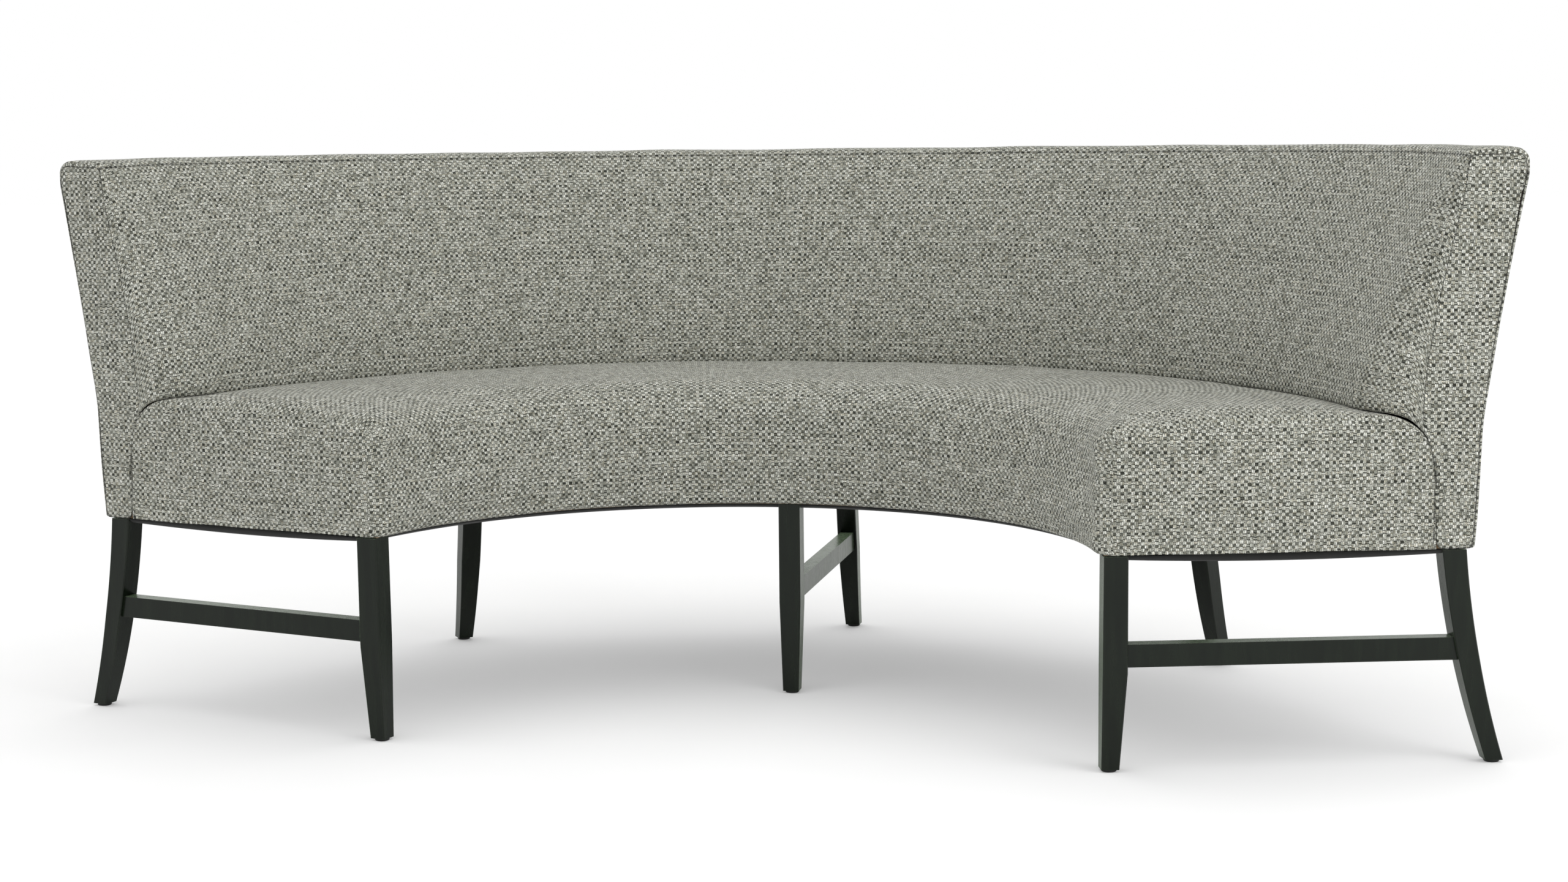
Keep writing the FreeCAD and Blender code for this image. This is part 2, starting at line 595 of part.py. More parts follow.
def corner_block(name, along, turn):
    """Make a triangular block beside a cross rail, its square corner at a radius."""
    across = "Sizes.cross_thickness / 2"
    body = document.addObject("PartDesign::Body", name)
    sketch = draw_outline(body, "XY_Plane", [
        (along, across), (f"{along} + {turn} * Sizes.block_side", across),
        (along, f"{across} + Sizes.block_side")])
    pad = body.newObject("PartDesign::Pad", "Thickness")
    pad.Profile = sketch
    bind(pad, Length="Sizes.block_height")
    body.setExpression("Placement.Base.z", f"{RAIL_TOP} - Sizes.block_height")
    document.recompute()
    return body


FAR_CORNER = f"sqrt({BACK_RAIL} ^ 2 - (Sizes.cross_thickness / 2 + Sizes.block_side) ^ 2)"
near_block = corner_block("Near_block", FRONT_RAIL_REAR, 1)
far_block = corner_block("Far_block", FAR_CORNER, -1)


def mirrored(name, piece):
    """Mirror a piece across the middle line's plane."""
    mirror = document.addObject("Part::Mirroring", name)
    mirror.Source = piece
    mirror.Normal = (0, 1, 0)
    document.recompute()
    return mirror


upper_shares = [share for share in BACK_SHARES if share < 1]
lower_shares = [share for share in BACK_SHARES if share > -1]
block_groups = []
for piece in [near_block, far_block]:
    block_groups.append(around(f"{piece.Name}s_up", piece, upper_shares))
    mirror = mirrored(f"{piece.Name}_mirror", piece)
    block_groups.append(around(f"{piece.Name}s_down", mirror, lower_shares))
place(joined("Corner_blocks", "Part::Compound", *block_groups), "corner_blocks")


# Legs, stretchers and glides

def straight_leg(name):
    """Make a front leg's side outline: an upright face and a tapering rear."""
    half_top = "Sizes.leg_width / 2"
    half_foot = "Sizes.foot_width / 2"
    return padded(name, "XZ_Plane", [
        (f"{FRONT_LEG} - {half_top}", LEG_TOP),
        (f"{FRONT_LEG} + {half_top}", LEG_TOP),
        (f"{FRONT_LEG} + {half_top}",
         "Sizes.stretcher_bottom - Sizes.rear_taper_drop"),
        (f"{FRONT_FOOT} + {half_foot}", "Sizes.glide_height"),
        (f"{FRONT_FOOT} - {half_foot}", "Sizes.glide_height")], "Sizes.leg_width")


def swept_leg(name):
    """Make a back leg's side outline: two arcs that sweep out to the foot."""
    half_top = "Sizes.leg_width / 2"
    half_foot = "Sizes.foot_width / 2"
    chord = f"sqrt(Sizes.back_foot_sweep ^ 2 + ({LEG_TOP} - Sizes.glide_height) ^ 2)"
    sweep = bow_radius(chord, "Sizes.leg_bow")
    return padded(name, "XZ_Plane", [
        (f"{BACK_LEG} - {half_top}", LEG_TOP),
        (f"{BACK_LEG} + {half_top}", LEG_TOP),
        (f"{REAR_FOOT} + {half_foot}", "Sizes.glide_height"),
        (f"{REAR_FOOT} - {half_foot}", "Sizes.glide_height")],
        "Sizes.leg_width", {1: (sweep, 1), 3: (sweep, -1)})


def taper(name, middle):
    """Make the outline seen along the radius: straight, then tapering to the foot."""
    half_top = "Sizes.leg_width / 2"
    half_foot = "Sizes.foot_width / 2"
    body = padded(name, "YZ_Plane", [
        (f"-{half_top}", LEG_TOP), (f"-{half_top}", "Sizes.stretcher_bottom"),
        (f"-{half_foot}", "Sizes.glide_height"), (half_foot, "Sizes.glide_height"),
        (half_top, "Sizes.stretcher_bottom"), (half_top, LEG_TOP)],
        "2 * (Sizes.back_foot_sweep + Sizes.leg_width)")
    body.setExpression("Placement.Base.x", middle)
    document.recompute()
    return body


def is_long_edge(edge):
    """Tell whether an edge runs up or down a leg."""
    box = edge.BoundBox
    return box.ZLength > amount("Sizes.stretcher_height")


def leg_blank(name, row):
    """Make a leg before its holes are cut."""
    side = straight_leg(f"{name}_side") if row == "front" else swept_leg(f"{name}_side")
    form = joined(f"{name}_form", "Part::MultiCommon", side,
                  taper(f"{name}_taper", LEG_TOPS[row]))
    eased = document.addObject("Part::Chamfer", f"{name}_eased")
    eased.Base = form
    size = amount("Sizes.leg_chamfer")
    eased.Edges = [(number, size, size) for number, edge in enumerate(form.Shape.Edges, start=1)
                   if is_long_edge(edge)]
    document.recompute()
    return eased


def glide(name, row):
    """Make a nail-on glide: a low disc and its nail."""
    body = document.addObject("PartDesign::Body", name)
    sketch = draw_outline(body, "XZ_Plane", [
        (0, 0), ("Sizes.glide_radius - Sizes.glide_edge", 0),
        ("Sizes.glide_radius", "Sizes.glide_edge"), ("Sizes.glide_radius", "Sizes.glide_height"),
        ("Sizes.nail_radius", "Sizes.glide_height"),
        ("Sizes.nail_radius", "Sizes.glide_height + Sizes.nail_length - Sizes.nail_radius"),
        (0, "Sizes.glide_height + Sizes.nail_length")])
    turn = body.newObject("PartDesign::Revolution", "Turn")
    turn.Profile = sketch
    turn.ReferenceAxis = (sketch, ["V_Axis"])
    document.recompute()
    return joined(f"{name}_set", "Part::Compound", move_out(body, FEET[row]))


def move_out(body, reach):
    """Move a piece that is drawn about its own axis out along the radius."""
    body.setExpression("Placement.Base.x", reach)
    document.recompute()
    return body


def bar(name, width, height, start, end, foot):
    """Make a bar along the radius, centred on the middle line."""
    piece = document.addObject("Part::Box", name)
    bind(piece, Length=f"{end} - {start}", Width=width, Height=height)
    piece.setExpression("Placement.Base.x", str(start))
    piece.setExpression("Placement.Base.y", f"-{width} / 2")
    piece.setExpression("Placement.Base.z", foot)
    document.recompute()
    return piece


STRETCHER_START = f"({FRONT_LEG} + Sizes.leg_width / 2)"
TENON_FOOT = "(Sizes.stretcher_bottom + (Sizes.stretcher_height - Sizes.tenon_height) / 2)"


def stretcher(name, back_leg):
    """Make a stretcher whose shoulders fit both legs, and its tenon bar."""
    rough = bar(f"{name}_rough", "Sizes.stretcher_thickness", "Sizes.stretcher_height",
                STRETCHER_START, f"{BACK_LEG} + Sizes.stretcher_reach",
                "Sizes.stretcher_bottom")
    fitted = cut(f"{name}_fitted", rough, back_leg)
    tenons = bar(f"{name}_tenons", "Sizes.tenon_thickness", "Sizes.tenon_height",
                 f"({STRETCHER_START} - Sizes.tenon_length)",
                 f"({BACK_LEG} + Sizes.back_tenon_reach)", TENON_FOOT)
    return joined(f"{name}_whole", "Part::MultiFuse", fitted, tenons), tenons


for side, share in ROW_SHARES.items():
    back_blank = leg_blank(f"Back_leg_{side}", "back")
    back_tools = [bolts["back"]]
    if side in FRONT_SIDES:
        whole, tenons = stretcher(f"Stretcher_{side}", back_blank)
        front_blank = leg_blank(f"Front_leg_{side}", "front")
        front_glide = glide(f"Front_glide_{side}", "front")
        place(cut(f"Front_leg_{side}_whole", front_blank, tenons, bolts["front"], front_glide),
              f"leg_front_{side}", share)
        place(joined(f"Front_glide_{side}_placed", "Part::Compound", front_glide),
              f"glide_front_{side}", share)
        place(whole, f"stretcher_{side}", share)
        back_tools.append(tenons)
    back_glide = glide(f"Back_glide_{side}", "back")
    place(cut(f"Back_leg_{side}_whole", back_blank, *back_tools, back_glide),
          f"leg_back_{side}", share)
    place(joined(f"Back_glide_{side}_placed", "Part::Compound", back_glide),
          f"glide_back_{side}", share)


# Frame of the back: posts that lap the back seat rail, and the webbing on them

def post_face(height):
    """Return the radius of the posts' outer face at a height above the waist."""
    return f"({outer_face(height)} - {POST_FACE})"


POST_BEND = f"({LOWER_RAIL_TOP} + Sizes.post_bend_rise)"
for side, share in POST_SHARES.items():
    blank = padded(f"Post_{side}", "XZ_Plane", [
        (BACK_RAIL_REAR, BOARD_FOOT), (lap_face(BOARD_FOOT), BOARD_FOOT),
        (lap_face(WAIST), WAIST),
        (post_face(TOP_RAIL_FOOT), TOP_RAIL_FOOT),
        (f"({post_face(TOP_RAIL_FOOT)} - Sizes.post_depth)", TOP_RAIL_FOOT),
        (LOWER_RAIL_REAR, POST_BEND), (LOWER_RAIL_REAR, RAIL_TOP),
        (BACK_RAIL_REAR, RAIL_TOP)], "Sizes.cross_thickness")
    place(cut(f"Post_{side}_whole", blank, low_screw, high_screw, top_screw),
          f"back_post_{side}", share)
place(joined("Post_screws_placed", "Part::Compound", post_screws), "post_screws")
place(joined("Top_screws_placed", "Part::Compound", top_screws), "top_rail_screws")

web = turned("Web", [
    (LOWER_RAIL, LOWER_RAIL_FOOT), (LOWER_RAIL, LOWER_RAIL_TOP),
    (TOP_RAIL_FRONT, TOP_RAIL_FOOT), (TOP_RAIL_FRONT, f"{TOP_RAIL_FOOT} + Sizes.web_grip"),
    (f"{TOP_RAIL_FRONT} - Sizes.web_thickness", f"{TOP_RAIL_FOOT} + Sizes.web_grip"),
    (f"{TOP_RAIL_FRONT} - Sizes.web_thickness", TOP_RAIL_FOOT),
    (f"{LOWER_RAIL} - Sizes.web_thickness", LOWER_RAIL_TOP),
    (f"{LOWER_RAIL} - Sizes.web_thickness", LOWER_RAIL_FOOT)], angle="Sizes.web_angle")
post_bays = len(POST_SHARES) - 1
web_count = post_bays * WEBS_PER_BAY
web_shares = [(2 * number + 1) / web_count - 1 for number in range(web_count)]
place(joined("Webs_placed", "Part::Compound", around("Webs", web, web_shares)), "back_webbing")


# Seat deck: sinuous springs in clips on the rails, under a felt

def zigzag(bars, start, end, width, height):
    """Draw a sinuous spring's centre line along the radius."""
    pitch = (end - start) / (bars - 1)
    bend = pitch / 2
    side = width / 2 - bend
    edges = []
    for number in range(bars):
        reach = start + number * pitch
        turn = 1 if number % 2 == 0 else -1
        near = FreeCAD.Vector(reach, -turn * side, height)
        far = FreeCAD.Vector(reach, turn * side, height)
        edges.append(Part.LineSegment(near, far).toShape())
        if number < bars - 1:
            centre = FreeCAD.Vector(reach + bend, turn * side, height)
            top = centre + FreeCAD.Vector(0, turn * bend, 0)
            following = far + FreeCAD.Vector(pitch, 0, 0)
            slant = bend * math.sqrt(0.5)
            for first, last, lean in [(far, top, -1), (top, following, 1)]:
                middle = centre + FreeCAD.Vector(lean * slant, turn * slant, 0)
                edges.append(Part.Arc(first, middle, last).toShape())
    return Part.Wire(edges)


wire = amount("Sizes.wire_radius")
wire_height = amount(f"{RAIL_TOP} + Sizes.clip_plate + Sizes.clip_gap + Sizes.wire_radius")
near_bar = amount(f"({FRONT_RAIL} + {FRONT_RAIL_REAR}) / 2")
far_bar = amount(BACK_LEG)
line = zigzag(SPRING_BARS, near_bar, far_bar, amount("Sizes.spring_width"), wire_height)
first_edge = line.Edges[0]
section = Part.Wire(Part.makeCircle(
    wire, first_edge.valueAt(first_edge.FirstParameter),
    first_edge.tangentAt(first_edge.FirstParameter)))
spring = document.addObject("Part::Feature", "Spring")
spring.Shape = line.makePipeShell([section], True, False)
bay_shares = [(number + 1) / (SPRINGS_PER_BAY + 1) for number in range(SPRINGS_PER_BAY)]
bay_width = ROW_SHARES["mid_left"] - ROW_SHARES["left"]
spring_shares = [start + share * bay_width
                 for start in BACK_SHARES[:-1] for share in bay_shares]
place(joined("Springs_placed", "Part::Compound", around("Springs", spring, spring_shares)),
      "seat_springs")


def clip(name, middle, turn):
    """Make a clip that lies on a rail and hooks over a spring's end bar."""
    inner = "(Sizes.wire_radius + Sizes.clip_gap)"
    outer = f"({inner} + Sizes.clip_plate)"
    foot = RAIL_TOP
    level = f"({foot} + Sizes.clip_plate + {inner})"
    half = "Sizes.clip_foot / 2"
    far_outer = f"{middle} + {turn} * {outer}"
    far_inner = f"{middle} + {turn} * {inner}"
    corners = [
        (f"{middle} - {turn} * {half}", foot), (middle, foot),
        (far_outer, level), (middle, f"{level} + {outer}"),
        (middle, f"{level} + {inner}"), (far_inner, level),
        (middle, f"{foot} + Sizes.clip_plate"),
        (f"{middle} - {turn} * {half}", f"{foot} + Sizes.clip_plate")]
    arcs = {1: (outer, turn), 2: (outer, turn), 4: (inner, -turn), 5: (inner, -turn)}
    return padded(name, "XZ_Plane", corners, "Sizes.clip_width", arcs)


near_clip = clip("Near_clip", f"(({FRONT_RAIL} + {FRONT_RAIL_REAR}) / 2)", -1)
far_clip = clip("Far_clip", BACK_LEG, 1)
place(joined("Clips_placed", "Part::Compound", around("Near_clips", near_clip, spring_shares),
             around("Far_clips", far_clip, spring_shares)), "spring_clips")
place(ring("Felt", f"({FRONT_RAIL_REAR} + Sizes.felt_margin)",
           f"({SEAT_REAR} - 2 * Sizes.felt_margin)",
           f"{DECK} - Sizes.felt", DECK), "insulator_felt")

dust_sheet = ring("Dust_sheet", FRONT_RAIL, BACK_RAIL_REAR, LEG_TOP, "Sizes.base_height")
place(cut("Dust_cover", dust_sheet, bolt_rows["front"], bolt_rows["back"]), "dust_cover")


def check_and_write():
    """Check every object and write each sub-part to its own file."""
    document.recompute()
    for item in document.Objects:
        if "Invalid" in item.State or "Error" in item.State:
            raise RuntimeError(f"{item.Label} is {item.State}")
    os.makedirs("parts", exist_ok=True)
    for piece in SUB_PARTS:
        shape = piece.Shape
        if shape.isNull() or not shape.isValid() or not shape.Solids:
            raise RuntimeError(f"{piece.Label} has no valid shape")
        shape.exportStep(os.path.join("parts", f"{piece.Label}.step"))
    print(len(SUB_PARTS), "sub-parts written")


check_and_write()
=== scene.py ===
import logging
import math
from dataclasses import dataclass, field
from enum import Enum
from typing import Callable, Sequence

import bpy
import numpy as np
from mathutils import Matrix, Vector, noise


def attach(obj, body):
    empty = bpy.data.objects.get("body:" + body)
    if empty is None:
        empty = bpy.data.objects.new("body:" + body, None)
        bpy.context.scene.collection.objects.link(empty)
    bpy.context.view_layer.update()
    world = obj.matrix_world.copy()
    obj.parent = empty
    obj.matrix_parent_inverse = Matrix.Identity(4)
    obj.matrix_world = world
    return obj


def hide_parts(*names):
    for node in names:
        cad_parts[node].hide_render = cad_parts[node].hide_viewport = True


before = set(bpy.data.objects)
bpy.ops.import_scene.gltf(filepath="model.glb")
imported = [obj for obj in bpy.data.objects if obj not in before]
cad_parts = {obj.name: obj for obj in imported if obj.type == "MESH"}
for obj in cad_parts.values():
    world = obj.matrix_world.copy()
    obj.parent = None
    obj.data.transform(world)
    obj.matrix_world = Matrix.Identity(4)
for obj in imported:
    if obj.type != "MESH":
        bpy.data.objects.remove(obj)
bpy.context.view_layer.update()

# Looks of a curved upholstered banquette bench: woven covers on seat and back,
# dark stained legs, and the frame, springs and webbing inside.

log = logging.getLogger("banquette")
Pair = tuple[float, float]
Colour = tuple[float, float, float]


class Slot(Enum):
    """The material slots."""

    FABRIC = "woven_fabric"
    FOAM = "foam"
    FELT = "felt"
    DUST = "dust_cloth"
    WEBBING = "webbing"
    STAINED = "stained_wood"
    FRAME = "frame_wood"
    BOARD = "board"
    SPRING = "spring_steel"
    ZINC = "zinc_steel"
    GLIDE = "glide_plastic"


# Sums on node sockets, and the materials' node trees


class Wire:
    """A node socket that Python's arithmetic works on."""

    def __init__(self, recipe: "Recipe", socket: bpy.types.NodeSocket | None) -> None:
        """Keep the socket and the recipe that it belongs to."""
        self.recipe = recipe
        self.socket = socket

    def maths(self, operation: str, *others: "Wire | float", swapped: bool = False) -> "Wire":
        """Add a Math node.

        Args:
            operation: The node's operation.
            others: What follows this socket in the node.
            swapped: Whether the other value comes first.

        Returns:
            The node's result.
        """
        values = [self, *others]
        if swapped:
            values.reverse()
        return self.recipe.node("ShaderNodeMath", {"operation": operation},
                                dict(enumerate(values)))

    def __add__(self, other: "Wire | float") -> "Wire":
        """Add."""
        return self.maths("ADD", other)

    __radd__ = __add__

    def __mul__(self, other: "Wire | float") -> "Wire":
        """Multiply."""
        return self.maths("MULTIPLY", other)

    __rmul__ = __mul__

    def __sub__(self, other: "Wire | float") -> "Wire":
        """Subtract."""
        return self.maths("SUBTRACT", other)

    def __rsub__(self, other: "Wire | float") -> "Wire":
        """Subtract from a number."""
        return self.maths("SUBTRACT", other, swapped=True)

    def __truediv__(self, other: "Wire | float") -> "Wire":
        """Divide."""
        return self.maths("DIVIDE", other)

    def __mod__(self, other: "Wire | float") -> "Wire":
        """Take the remainder, never below zero."""
        return self.maths("FLOORED_MODULO", other)

    def __lt__(self, other: "Wire | float") -> "Wire":
        """Give one where this is smaller."""
        return self.maths("LESS_THAN", other)

    def floor(self) -> "Wire":
        """Round down."""
        return self.maths("FLOOR")

    def arch(self) -> "Wire":
        """Turn a run from 0 to 1 into a hump that is 1 at its middle."""
        return (self * math.pi).maths("SINE")

    def fade(self, low: float, high: float) -> "Wire":
        """Give 0 at low and below, 1 at high and above, and a smooth step between."""
        return self.recipe.node(
            "ShaderNodeMapRange", {"interpolation_type": "SMOOTHSTEP"},
            {"Value": self, "From Min": low, "From Max": high})


class Recipe:
    """The node tree of one material, made call by call."""

    def __init__(self, name: str) -> None:
        """Start an empty material."""
        self.material = bpy.data.materials.new(name)
        self.material.use_nodes = True
        self.tree = self.material.node_tree
        self.tree.nodes.clear()

    def node(self, kind: str, settings: dict | None = None, inputs: dict | None = None,
             out: int | str = 0) -> Wire:
        """Add a node.

        Args:
            kind: The node's type.
            settings: Its properties; "ramp" holds a colour ramp's stops.
            inputs: Values or wires by socket name or number.
            out: The output that is wanted.

        Returns:
            That output, or an empty wire where the node has none.
        """
        made = self.tree.nodes.new(kind)
        for key, value in (settings or {}).items():
            if key == "ramp":
                self._set_ramp(made.color_ramp, value)
            else:
                setattr(made, key, value)
        for key, value in (inputs or {}).items():
            if isinstance(value, Wire):
                self.tree.links.new(value.socket, made.inputs[key])
            else:
                made.inputs[key].default_value = value
        return Wire(self, made.outputs[out] if made.outputs else None)

    @staticmethod
    def _set_ramp(ramp: bpy.types.ColorRamp, stops: Sequence[tuple[float, Colour]]) -> None:
        """Set a ramp's stops."""
        while len(ramp.elements) < len(stops):
            ramp.elements.new(1)
        for element, (place, colour) in zip(ramp.elements, stops):
            element.position = place
            element.color = (*linear(colour), 1)

    def ramp(self, value: Wire, *stops: tuple[float, Colour]) -> Wire:
        """Turn a value into a colour by stops of screen colours."""
        return self.node("ShaderNodeValToRGB", {"ramp": stops}, {"Fac": value})

    def split(self, vector: Wire) -> tuple[Wire, Wire, Wire]:
        """Part a vector into its three numbers."""
        first = self.node("ShaderNodeSeparateXYZ", None, {"Vector": vector}, "X")
        node = first.socket.node
        return first, Wire(self, node.outputs["Y"]), Wire(self, node.outputs["Z"])

    def join(self, x: Wire | float, y: Wire | float, z: Wire | float = 0.0) -> Wire:
        """Make a vector of three numbers."""
        return self.node("ShaderNodeCombineXYZ", None, {"X": x, "Y": y, "Z": z})

    def noise(self, vector: Wire, scale: float, detail: float, out: str = "Fac") -> Wire:
        """Add a noise texture."""
        return self.node("ShaderNodeTexNoise", None,
                         {"Vector": vector, "Scale": scale, "Detail": detail}, out)

    def stretch(self, vector: Wire, x: float, y: float, z: float) -> Wire:
        """Scale a vector along each axis."""
        return self.node("ShaderNodeVectorMath", {"operation": "MULTIPLY"},
                         {0: vector, 1: (x, y, z)})

    def blend(self, share: Wire | float, first: Wire | Colour, second: Wire | Colour,
              way: str = "MIX") -> Wire:
        """Mix two colours, wires or screen colours."""
        shades = [shade if isinstance(shade, Wire) else (*linear(shade), 1)
                  for shade in (first, second)]
        return self.node("ShaderNodeMix", {"data_type": "RGBA", "blend_type": way},
                         {0: share, 6: shades[0], 7: shades[1]}, 2)

    def shade(self, colour: Wire, amount: Wire) -> Wire:
        """Darken or lighten a colour by a factor."""
        grey = self.join(amount, amount, amount)
        return self.blend(1.0, colour, grey, "MULTIPLY")

    def bump(self, height: Wire, distance: float, strength: float) -> Wire:
        """Turn a height into a normal."""
        return self.node("ShaderNodeBump", None,
                         {"Height": height, "Distance": distance, "Strength": strength})

    def surface(self, inputs: dict) -> bpy.types.Material:
        """Finish the material with one surface shader."""
        shader = self.node("ShaderNodeBsdfPrincipled", None, inputs)
        self.node("ShaderNodeOutputMaterial", None, {"Surface": shader})
        return self.material

    def place(self) -> Wire:
        """Read the place on the object, in metres."""
        return self.node("ShaderNodeTexCoord", None, None, "Object")


def linear(colour: Colour) -> Colour:
    """Turn a screen colour of 0 to 255 into linear light."""
    shares = [part / 255 for part in colour]
    return tuple(share / 12.92 if share <= 0.04045 else ((share + 0.055) / 1.055) ** 2.4
                 for share in shares)


# Finishes


@dataclass(frozen=True)
class WovenFabric:
    """Chunky two-tone basket weave: pale warp pairs over dark weft in the windows, with painted
    shade in the yarn gaps and along the seams.
    """

    column: float = 0.0050
    row: float = 0.0048
    drift: Pair = (1.1, 0.8)
    fuzz: Pair = (0.8, 0.6)
    seam_shade_width: float = 0.0016
    relief: float = 0.0007
    fibre_scale: float = 900.0
    warp: tuple[tuple[float, Colour], ...] = (
        (0.08, (146, 148, 137)), (0.34, (190, 192, 181)),
        (0.64, (213, 215, 205)), (0.92, (232, 233, 225)))
    weft: tuple[tuple[float, Colour], ...] = (
        (0.08, (62, 64, 57)), (0.32, (118, 120, 110)),
        (0.62, (172, 173, 162)), (0.90, (220, 220, 209)))
    beige: Colour = (214, 202, 176)

    @staticmethod
    def chance(recipe: Recipe, first: Wire, second: Wire) -> Wire:
        """Give a number between 0 and 1 for each cell of a net."""
        return recipe.node("ShaderNodeTexWhiteNoise", {"noise_dimensions": "2D"},
                           {"Vector": recipe.join(first, second)}, "Value")

    def build(self) -> bpy.types.Material:
        """Make the material."""
        recipe = Recipe(Slot.FABRIC.value)
        flat = recipe.node("ShaderNodeUVMap", {"uv_map": "Weave"})
        drift_u, drift_v, _ = recipe.split(recipe.noise(flat, 45.0, 3.0, "Color"))
        fuzz_u, fuzz_v, _ = recipe.split(recipe.noise(flat, self.fibre_scale, 1.0, "Color"))
        along, across, _ = recipe.split(flat)
        columns = along / self.column + drift_u * self.drift[0] + fuzz_u * self.fuzz[0]
        rows = across / self.row + drift_v * self.drift[1] + fuzz_v * self.fuzz[1]
        column, row = columns.floor(), rows.floor()
        over, up = (columns - column).arch(), (rows - row).arch()
        cell = self.chance(recipe, column + 31.0, row)
        window = (column + row) % 2.0
        strands, picks = columns * 2.0, rows * 2.0 + 0.5
        strand, pick = strands.floor(), picks.floor()
        warp_hump = (strands - strand).arch().maths("POWER", 0.9) * (up.fade(0.0, 0.5) * 0.6 + 0.4)
        weft_hump = (picks - pick).arch().maths("POWER", 1.8) * (over.fade(0.0, 0.5) * 0.3 + 0.7)
        line_tone = self.chance(recipe, row * 1.0, row * 0.5)
        warp_tone = self.chance(recipe, strand, row) * 0.75 + cell * 0.25
        weft_tone = self.chance(recipe, column, pick) * 0.72 + line_tone * 0.10 + row % 2.0 * 0.18
        warm = self.chance(recipe, strand + 7.0, pick).fade(0.62, 0.95)
        colour = recipe.blend(window, recipe.ramp(warp_tone, *self.warp),
                              recipe.ramp(weft_tone, *self.weft))
        colour = recipe.blend(warm * 0.5, colour, self.beige, "MULTIPLY")
        fibre = recipe.noise(flat, self.fibre_scale, 3.0).fade(0.3, 0.7)
        hump = warp_hump * (1.0 - window) + weft_hump * window
        # Painted shade along the seams: the colour darkens close to each seam.
        seam = recipe.node("ShaderNodeAttribute", {"attribute_name": "seam_gap"}, None, "Fac")
        seam_shade_falloff = seam.fade(self.seam_shade_width * 0.35, self.seam_shade_width)
        # Painted shade: darker in the gaps between yarns and towards the rows' ends, times a
        # random fibre tone.
        painted_shade_and_fibre = (hump * 1.15 + 0.04) * (fibre * 0.6 + 0.7) * (up.fade(0.0, 0.4) * 0.25 + 0.78)
        painted_shade_and_fibre = painted_shade_and_fibre * (seam_shade_falloff * 0.7 + 0.3)
        height = hump * (1.0 - window * 0.4) + fibre * 0.3 - window * 0.35
        return recipe.surface({
            "Base Color": recipe.shade(colour, painted_shade_and_fibre),
            "Roughness": fibre * 0.15 + 0.8,
            "Specular IOR Level": 0.18,
            "Sheen Weight": 0.12,
            "Sheen Roughness": 0.45,
            "Normal": recipe.bump(height, self.relief, 0.5),
        })


@dataclass(frozen=True)
class Wood:
    """Solid wood with its grain along one axis, bare or under a stain with a green glance."""

    slot: Slot
    dark: Colour
    light: Colour
    worn: Colour
    roughness: float
    grain: tuple[float, float, float]
    gloss: float
    glance: float = 0.0
    glance_tint: tuple[float, float, float, float] = (0.50, 0.70, 0.42, 1.0)
    edge: float = 0.0012
    relief: float = 0.00012

    def build(self) -> bpy.types.Material:
        """Make the material."""
        recipe = Recipe(self.slot.value)
        place = recipe.stretch(recipe.place(), *self.grain)
        figure = recipe.noise(place, 1.0, 3.0)
        pores = recipe.noise(recipe.stretch(place, 6.0, 6.0, 6.0), 1.0, 2.0).fade(0.38, 0.52)
        colour = recipe.blend(figure.fade(0.3, 0.7), self.dark, self.light)
        colour = recipe.shade(colour, pores * 0.12 + 0.88)
        flat = recipe.node("ShaderNodeNewGeometry", None, None, "Normal")
        soft = recipe.node("ShaderNodeBevel", {"samples": 4}, {"Radius": self.edge})
        bent = recipe.node("ShaderNodeVectorMath", {"operation": "DOT_PRODUCT"},
                           {0: flat, 1: soft}, "Value")
        rub = (1.0 - bent).fade(0.02, 0.16) * recipe.noise(place, 2.3, 2.0)
        colour = recipe.blend(rub, colour, self.worn)
        height = figure * 0.4 + pores * 0.6
        return recipe.surface({
            "Base Color": colour,
            "Roughness": figure * 0.14 + (self.roughness - 0.05),
            "Specular IOR Level": self.gloss,
            "Sheen Weight": self.glance,
            "Sheen Roughness": 0.2,
            "Sheen Tint": self.glance_tint,
            "Normal": recipe.bump(height, self.relief, 0.5),
        })


@dataclass(frozen=True)
class Metal:
    """Drawn spring wire or zinc plate, with fine lines and stains."""

    slot: Slot
    bright: Colour
    dull: Colour
    roughness: float
    relief: float = 0.00004

    def build(self) -> bpy.types.Material:
        """Make the material."""
        recipe = Recipe(self.slot.value)
        place = recipe.place()
        cloud = recipe.noise(place, 60.0, 3.0)
        fine = recipe.noise(place, 900.0, 2.0)
        return recipe.surface({
            "Base Color": recipe.blend(cloud.fade(0.35, 0.65), self.dull, self.bright),
            "Metallic": 0.95,
            "Roughness": cloud * 0.2 + (self.roughness - 0.1),
            "Normal": recipe.bump(fine, self.relief, 0.4),
        })


@dataclass(frozen=True)
class Matter:
    """Cloth, felt, foam, board or plastic with a mottled face of one grain size."""

    slot: Slot
    dark: Colour
    light: Colour
    roughness: float
    grain: float
    relief: float
    stretch: tuple[float, float, float] = (1.0, 1.0, 1.0)
    sheen: float = 0.0

    def build(self) -> bpy.types.Material:
        """Make the material."""
        recipe = Recipe(self.slot.value)
        place = recipe.stretch(recipe.place(), *self.stretch)
        coarse = recipe.noise(place, 25.0, 2.0)
        fine = recipe.noise(place, self.grain, 3.0)
        mottle = (coarse * 0.35 + fine * 0.65).fade(0.32, 0.68)
        return recipe.surface({
            "Base Color": recipe.blend(mottle, self.dark, self.light),
            "Roughness": fine * 0.16 + (self.roughness - 0.08),
            "Specular IOR Level": 0.3,
            "Sheen Weight": self.sheen,
            "Normal": recipe.bump(fine, self.relief, 0.6),
        })


